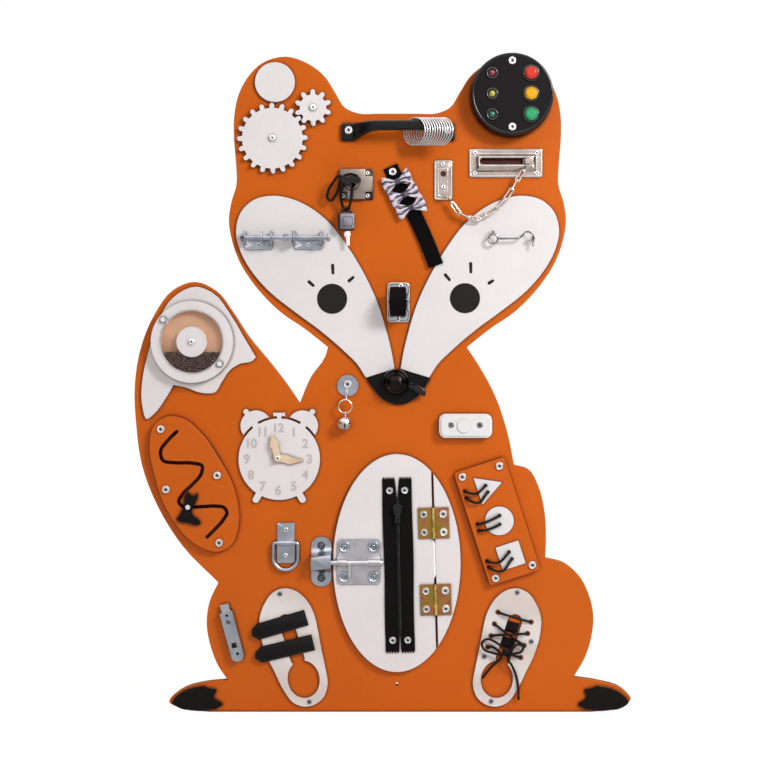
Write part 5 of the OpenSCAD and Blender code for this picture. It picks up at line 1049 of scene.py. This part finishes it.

# The seeds lie in four layers on a triangular grid, each turned and moved a little
# The husks' pale flecks are partly their own lighter tone and partly painted highlights.
seed_husk_and_glints, tree, shader = finish_named("dark_brown_seed_husks", "#3a2c2b", 0.6, gloss=0.3)
surface(tree, shader, toned(tree, speckle(tree, 420.0, 1.0), (0.35, "#1d1516"), (0.68, "#806862")))
SEED_LEVEL = 494.5       # height of the seeds' surface, in mm
SEED_PITCH = 2.5
pick = random.Random(11)
seed = bmesh.new()
bmesh.ops.create_icosphere(seed, subdivisions=1, radius=1.0)
seed_mesh = bpy.data.meshes.new("one_seed")
seed.to_mesh(seed_mesh)
seed.free()
heap = bmesh.new()
for layer in range(4):
    out = 9.2 + layer * 1.9
    for row in range(-20, 17):
        for column in range(-17, 18):
            x = (column + 0.5 * (row % 2)) * SEED_PITCH + pick.uniform(-0.5, 0.5)
            z = row * SEED_PITCH * 0.87 + pick.uniform(-0.5, 0.5)
            r = math.hypot(x, z)
            if not 22.6 < r < 41.3 or WHEEL_AT[1] + z > SEED_LEVEL + pick.uniform(-0.8, 0.8):
                continue
            turn = Matrix.Rotation(pick.uniform(0, math.pi), 4, "Y") @ Matrix.Rotation(pick.uniform(-0.6, 0.6), 4, "X")
            size = pick.uniform(0.9, 1.12)
            place = Matrix.Translation(on_board(WHEEL_AT[0] + x, WHEEL_AT[1] + z, out) * MM)
            before = len(heap.verts)
            heap.from_mesh(seed_mesh)
            heap.verts.ensure_lookup_table()
            bmesh.ops.transform(heap, matrix=place @ turn @ Matrix.Diagonal((1.75 * size * MM, 1.15 * size * MM,
                                                                             1.25 * size * MM, 1)),
                                verts=heap.verts[before:])
bpy.data.meshes.remove(seed_mesh)
seeds = piece_from("seeds", heap, "root", seed_husk_and_glints)
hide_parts("seed_filling")


# ---- strap with bows ----
# A woven black elastic, screwed to the board at its upper end, with three satin bows tied across it.
# It rises from the board onto the cheek panel.

ELASTIC_W = 20.5
ELASTIC_T = 1.6
in_strap = frame_at((-10, 743), -66.2)


def flat_ring(width, thick, steps=14):
    """Section of a flat band, round at its edges, with even steps across."""
    half = width / 2 - thick / 2
    top = [(-half + 2 * half * k / steps, thick / 2) for k in range(steps + 1)]
    right = [(half + thick / 2 * math.cos(a), thick / 2 * math.sin(a)) for a in (0.9, 0.0, -0.9)]
    return (top + right + [(-x, -y) for x, y in top] + [(-x, -y) for x, y in right])[::-1]


def woven(name, light, dark, rib, turn):
    """Black woven tape: ribs along it rib mm apart, crossed by a finer weft; drawn coarse enough to show."""
    finish, tree, shader = finish_named(name, light, 0.8, gloss=0.05)
    place = node(tree, "Mapping", {"Rotation": (0, math.radians(turn), 0)}, {0: object_place(tree)})
    parts = node(tree, "SeparateXYZ", links={0: place})
    warp, weft = [calc(tree, "SINE", calc(tree, "MULTIPLY", parts.outputs[axis], 2 * math.pi / (pitch * MM)))
                  for axis, pitch in (("X", rib), ("Z", rib * 0.8))]
    level = ranged(tree, calc(tree, "MULTIPLY_ADD", weft, 0.4, warp), -1.4, 1.4)
    surface(tree, shader, two_tone(tree, dark, light, level), level, 0.6)
    return finish


def strap_lift(x):
    """How far the strap's underside stands off the board: it rises to lie over the cheek."""
    return 0.2 + max(0, x - 14) / 128 * 4.1


def strap_sway(x):
    """How far the strap's middle line lies to the right of the straight one."""
    return 4.0 * math.sin(math.pi * max(0, x - 20) / 150)


elastic_weave = woven("black_woven_elastic", "#121011", "#060505", 1.5, 66.2 - 90)
steps = 50
line = []
for k in range(steps + 1):
    x = -8 + 150 * k / steps
    line.append(in_strap(x, strap_sway(x), strap_lift(x) + ELASTIC_T / 2 + 0.05
                         + 0.35 * max(0, math.sin((x - 60) / 15)) * (x > 60)))
elastic = swept("elastic_strap", line, flat_ring(ELASTIC_W, ELASTIC_T - 0.1), "bow_strap", elastic_weave)
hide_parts("bow_strap")

# The ribbon is gathered in the knot, and its pleats run out from there. Painted light and shade: pale on the pleats'
# tops and plum in the folds.
satin, tree, shader = finish_named("lilac_grey_satin_ribbon", "#bfb2c2", 0.36, Sheen_Weight=0.3,
                                   Anisotropic=0.4)
crush = speckle(tree, 190.0, 2.0, Distortion=0.8)
shaded = calc(tree, "MULTIPLY_ADD", crush, 0.6, node(tree, "Attribute", {"attribute_name": "fold_shading"}).outputs["Fac"])
surface(tree, shader, toned(tree, shaded, (0.3, "#332839"), (0.62, "#a596ab"), (0.92, "#e6dee7")), crush, 0.15, 0.5)

LOBE = 20.5              # reach of a bow's loop from its knot, in mm
LOBE_HALF = 12.6         # half height of the loop at its outer end
BOW_OUT = 4.0            # from the elastic's face to the middle of a bow
ALONG, ACROSS = 26, 20   # faces of a loop


def bow_point(side, t, v, phase):
    """Point of a bow's loop, and how light it is painted there, as painted shade in the folds and painted
    highlight on the pleats: t runs out from the knot over the front and back behind, v across the ribbon."""
    a = math.pi * t
    reach = math.sin(a) ** 0.75
    x = 2.2 + (LOBE - 2.2) * reach
    flare = 2.8 + (LOBE_HALF - 2.8) * reach ** 0.95
    skew = v + 0.16 * math.sin(5 * reach + phase)
    ridge = math.cos(skew * 2.3 * math.pi + phase) * 0.7 + 0.3 * math.cos(skew * 5.1 * math.pi - phase)
    depth = 0.7 + 1.0 * (1 - reach) ** 0.5
    out = 2.7 * math.cos(a) * (0.45 + 0.55 * math.sin(a)) + depth * ridge * (1 if t < 0.5 else 0.3)
    crumple = noise.noise((side * x / 4.5, v * flare / 3.2, phase))
    out += 0.9 * crumple
    # Painted light and shade: lighter on a pleat's ridge, darker in its folds and close to the knot.
    high = 0.4 + 0.5 * ridge + 0.4 * crumple - 0.3 * (1 - reach) ** 2
    return side * (x - 1.6 * v * v * reach), v * flare, out, high


def sheet(shape, grid):
    """Faces between the rows of a grid of vertices."""
    for near, far in zip(grid, grid[1:]):
        for j in range(len(near) - 1):
            shape.faces.new((near[j], far[j], far[j + 1], near[j + 1]))


def bow(name, where, turn, wobble):
    def tied(x, y, out):
        x, y = turned(x, y, turn)
        return in_strap(where + x, strap_sway(where) + y, strap_lift(where) + ELASTIC_T + out)

    ribbon = bmesh.new()
    fold_shading = ribbon.verts.layers.float.new("fold_shading")
    for side in (-1, 1):
        grid = []
        for i in range(ALONG + 1):
            row = []
            for j in range(ACROSS + 1):
                x, y, out, high = bow_point(side, i / ALONG, j / (ACROSS / 2) - 1, where + side)
                row.append(ribbon.verts.new(tied(x, y + wobble * side * x / 20, BOW_OUT + out) * MM))
                row[-1][fold_shading] = high
            grid.append(row)
        sheet(ribbon, grid)
    piece_from(name, ribbon, "bow_strap", satin, thick=0.45, rounds=1)

    # The knot: a short band of the same ribbon, pulled tight round the middle
    loop = [tied(0, 3.4 * math.cos(2 * math.pi * k / 24), BOW_OUT + 0.1 + 3.6 * math.sin(2 * math.pi * k / 24))
            for k in range(25)]
    swept(name + "_knot", loop, flat_ring(5.6, 0.9, 8), "bow_strap", satin, closed_ends=False)


bow("bow_1", 15, 88, 0.6)
bow("bow_2", 35.5, 89, -0.4)
bow("bow_3", 56, 87, 0.8)


# ---- shoes ----
# Two whitewashed plywood soles, through which the birch grain shows. One has leather straps with folded,
# stitched edges; the other has drilled lace holes, two dark tongue pieces and the lace's knot.

whitewash = bare_wood("whitewashed_birch_plywood", "#ece5e1", "#d9ccc4", 70.0, 0.5, 0.6, turn=75)
refined("shoe_soles", whitewash, ease=0.6)

# Brown discs round the lace holes: the bare drilled wood, and painted shade of the holes.
hole_wood_and_shade = mottled("bare_drilled_wood_and_painted_shade", "#94502e", "#6a3019", 0.7, 500.0, plain="#7c3f22", gloss=0.2)
for number, (x, z) in enumerate(LACE_LEFT + LACE_RIGHT, 1):
    printed_disc(f"lace_eyelet_{number}", x, z, 3.7, PANEL_T, 0.12, hole_wood_and_shade)
for number, place in enumerate(((153.2, 117), (147, 95.5)), 1):
    sawn_plate(f"lace_tongue_{number}", place, rounded_box(18.5, 14.5, 1.5), 0.05, 0.9, 0.3, black_abs, turn=-16)

bpy.ops.object.select_all(action="DESELECT")
bpy.ops.mesh.primitive_uv_sphere_add(segments=24, ring_count=12, radius=1)
knot = bpy.context.object
knot.name = "lace_knot"
for vertex in knot.data.vertices:
    x, y, z = vertex.co
    ripple = 1 + 0.1 * math.sin(9 * x + 4 * z)
    vertex.co = on_board(146 + 7.5 * x * ripple, 83.5 + 5.5 * z * ripple, LACE_W + 4.5 + 3.6 * y * ripple) * MM
knot.data.update()
bpy.ops.object.shade_smooth()
wear(knot, black_abs)
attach(knot, "root")

# Leather: fine pores and broader creases; the thread in its seams is waxed
leather, tree, shader = finish_named("black_smooth_leather", "#151213", 0.42, gloss=0.15)
here = object_place(tree)
pores = node(tree, "TexVoronoi", {"Scale": 900.0}, {0: here}).outputs["Distance"]
hide = calc(tree, "MULTIPLY_ADD", pores, 0.5, speckle(tree, 160.0, 3.0, here))
surface(tree, shader, two_tone(tree, "#0b0909", "#191616", ranged(tree, hide, 0.3)), hide, 0.35, 0.3)
thread = mottled("waxed_black_thread", "#4d4546", "#2a2425", 0.5, 2500.0, plain="#3a3334", gloss=0.5)

STRAP_HALF = 11.0
SEAM = 2.2               # from the strap's edge to its stitches
STITCH = 3.2


def between(a, b, t):
    return a[0] + (b[0] - a[0]) * t, a[1] + (b[1] - a[1]) * t


def shoe_strap(name, root, turn, length, body):
    half = STRAP_HALF
    corners = [(0, -half), (0, half), (length - 8, half), (length, 3), (length - 3, -6), (length - 12, -half)]
    outline = []
    for a, b in zip(corners, corners[1:] + corners[:1]):
        count = max(2, round(math.dist(a, b) / 3))
        outline += [between(a, b, k / count) for k in range(count)]
    strap = sawn_plate(name, root, outline, PANEL_T + 0.35, PANEL_T + 2.95, 1.0, leather, body, turn,
                       profile=((0.5, 0.3), (1.2, 0.05), (0.5, -0.3), (0.5, 0.35)), smooth=50)
    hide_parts(body)

    # Stitches: a run of short threads in the groove beside the edge
    own = frame_at(root, turn)
    row = bmesh.new()
    inner = [(SEAM, SEAM - half), (SEAM, half - SEAM), (length - 9, half - SEAM), (length - 2.6, 2.4),
             (length - 5, -5.2), (length - 13, SEAM - half)]
    for a, b in zip(inner, inner[1:] + inner[:1]):
        count = int(math.dist(a, b) / STITCH)
        angle = math.atan2(b[1] - a[1], b[0] - a[0]) + math.radians(turn)
        for k in range(count):
            centre = own(*between(a, b, (k + 0.5) / count), PANEL_T + 2.78) * MM
            before = len(row.verts)
            bmesh.ops.create_icosphere(row, subdivisions=1, radius=1.0)
            row.verts.ensure_lookup_table()
            bmesh.ops.transform(row, verts=row.verts[before:], matrix=Matrix.Translation(centre)
                                @ Matrix.Rotation(-angle, 4, "Y")
                                @ Matrix.Diagonal((1.15 * MM, 0.3 * MM, 0.32 * MM, 1)))
    piece_from(name + "_stitches", row, body, thread)


shoe_strap("leather_strap_upper", (-128.5, 131), 196.5, 79, "strap_upper")
shoe_strap("leather_strap_lower", (-119, 97), 193.5, 83, "strap_lower")


# ---- zip ----
# A black coil zip on cotton tape, pinked at both ends and screwed flat to the door. The halves of the
# tape part above and below the coil.

ZIP_L = 235.0
ZIP_W = 40.0
COIL_L = ZIP_L - 52
COIL_PITCH = 1.7
COIL_STEPS = 8           # points of one turn of the coil
DOOR_T = 8.0
ROWS, COLUMNS = 94, 10
in_zip = frame_at((-2, 203), 1.2)
tape_weave = woven("black_cotton_zip_tape", "#1c1718", "#0d0a0b", 1.4, -1.2)


def tape_edge(y):
    """Inner edge of a tape's half: the halves part above and below the coil."""
    if y > ZIP_L / 2 - 26:
        return 0.4 + (y - ZIP_L / 2 + 26) / 26 * 2.6
    if y < -ZIP_L / 2 + 24:
        return 0.4 + (-ZIP_L / 2 + 24 - y) / 24 * 0.9
    return 0.4


tape = bmesh.new()
for side in (-1, 1):
    grid = []
    for i in range(ROWS + 1):
        y = -ZIP_L / 2 + ZIP_L * i / ROWS
        inner = tape_edge(y)
        free = max(0.0, 1 - (abs(y) / (ZIP_L / 2 - 18)) ** 8)
        row = []
        for j in range(COLUMNS + 1):
            edge = (j / COLUMNS) ** 3
            seam = 0.6 if j == 2 else 0.0
            out = DOOR_T + 0.65 + (0.35 * edge * (1 + math.sin(y / 13 + side)) + seam) * free
            pinked = 0.0
            if i in (0, ROWS):
                pinked = (3.3 if j % 2 else -0.4) * (1 if i else -1)
            wave = 0.6 * math.sin(y / 31 + side) * edge * free
            x = inner + (ZIP_W / 2 - inner) * j / COLUMNS
            row.append(tape.verts.new(in_zip(side * (x + wave), y + pinked, out) * MM))
        grid.append(row)
    sheet(tape, grid)
zip_tape = piece_from("zip_tape", tape, "door", tape_weave, smooth=40, thick=0.9)
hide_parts("zipper_tape")

# The coil: one nylon thread wound to and fro, seen as close ribs across the seam
coil = []
for k in range(int(COIL_L / COIL_PITCH) * COIL_STEPS + 1):
    a = 2 * math.pi * k / COIL_STEPS
    y = -2 - COIL_L / 2 + COIL_PITCH * k / COIL_STEPS
    coil.append(in_zip(2.7 * math.cos(a), y, DOOR_T + 1.95 + 0.55 * math.sin(a)))
swept("zip_coil", coil, circle(0.42, 6), "door", gloss_black)
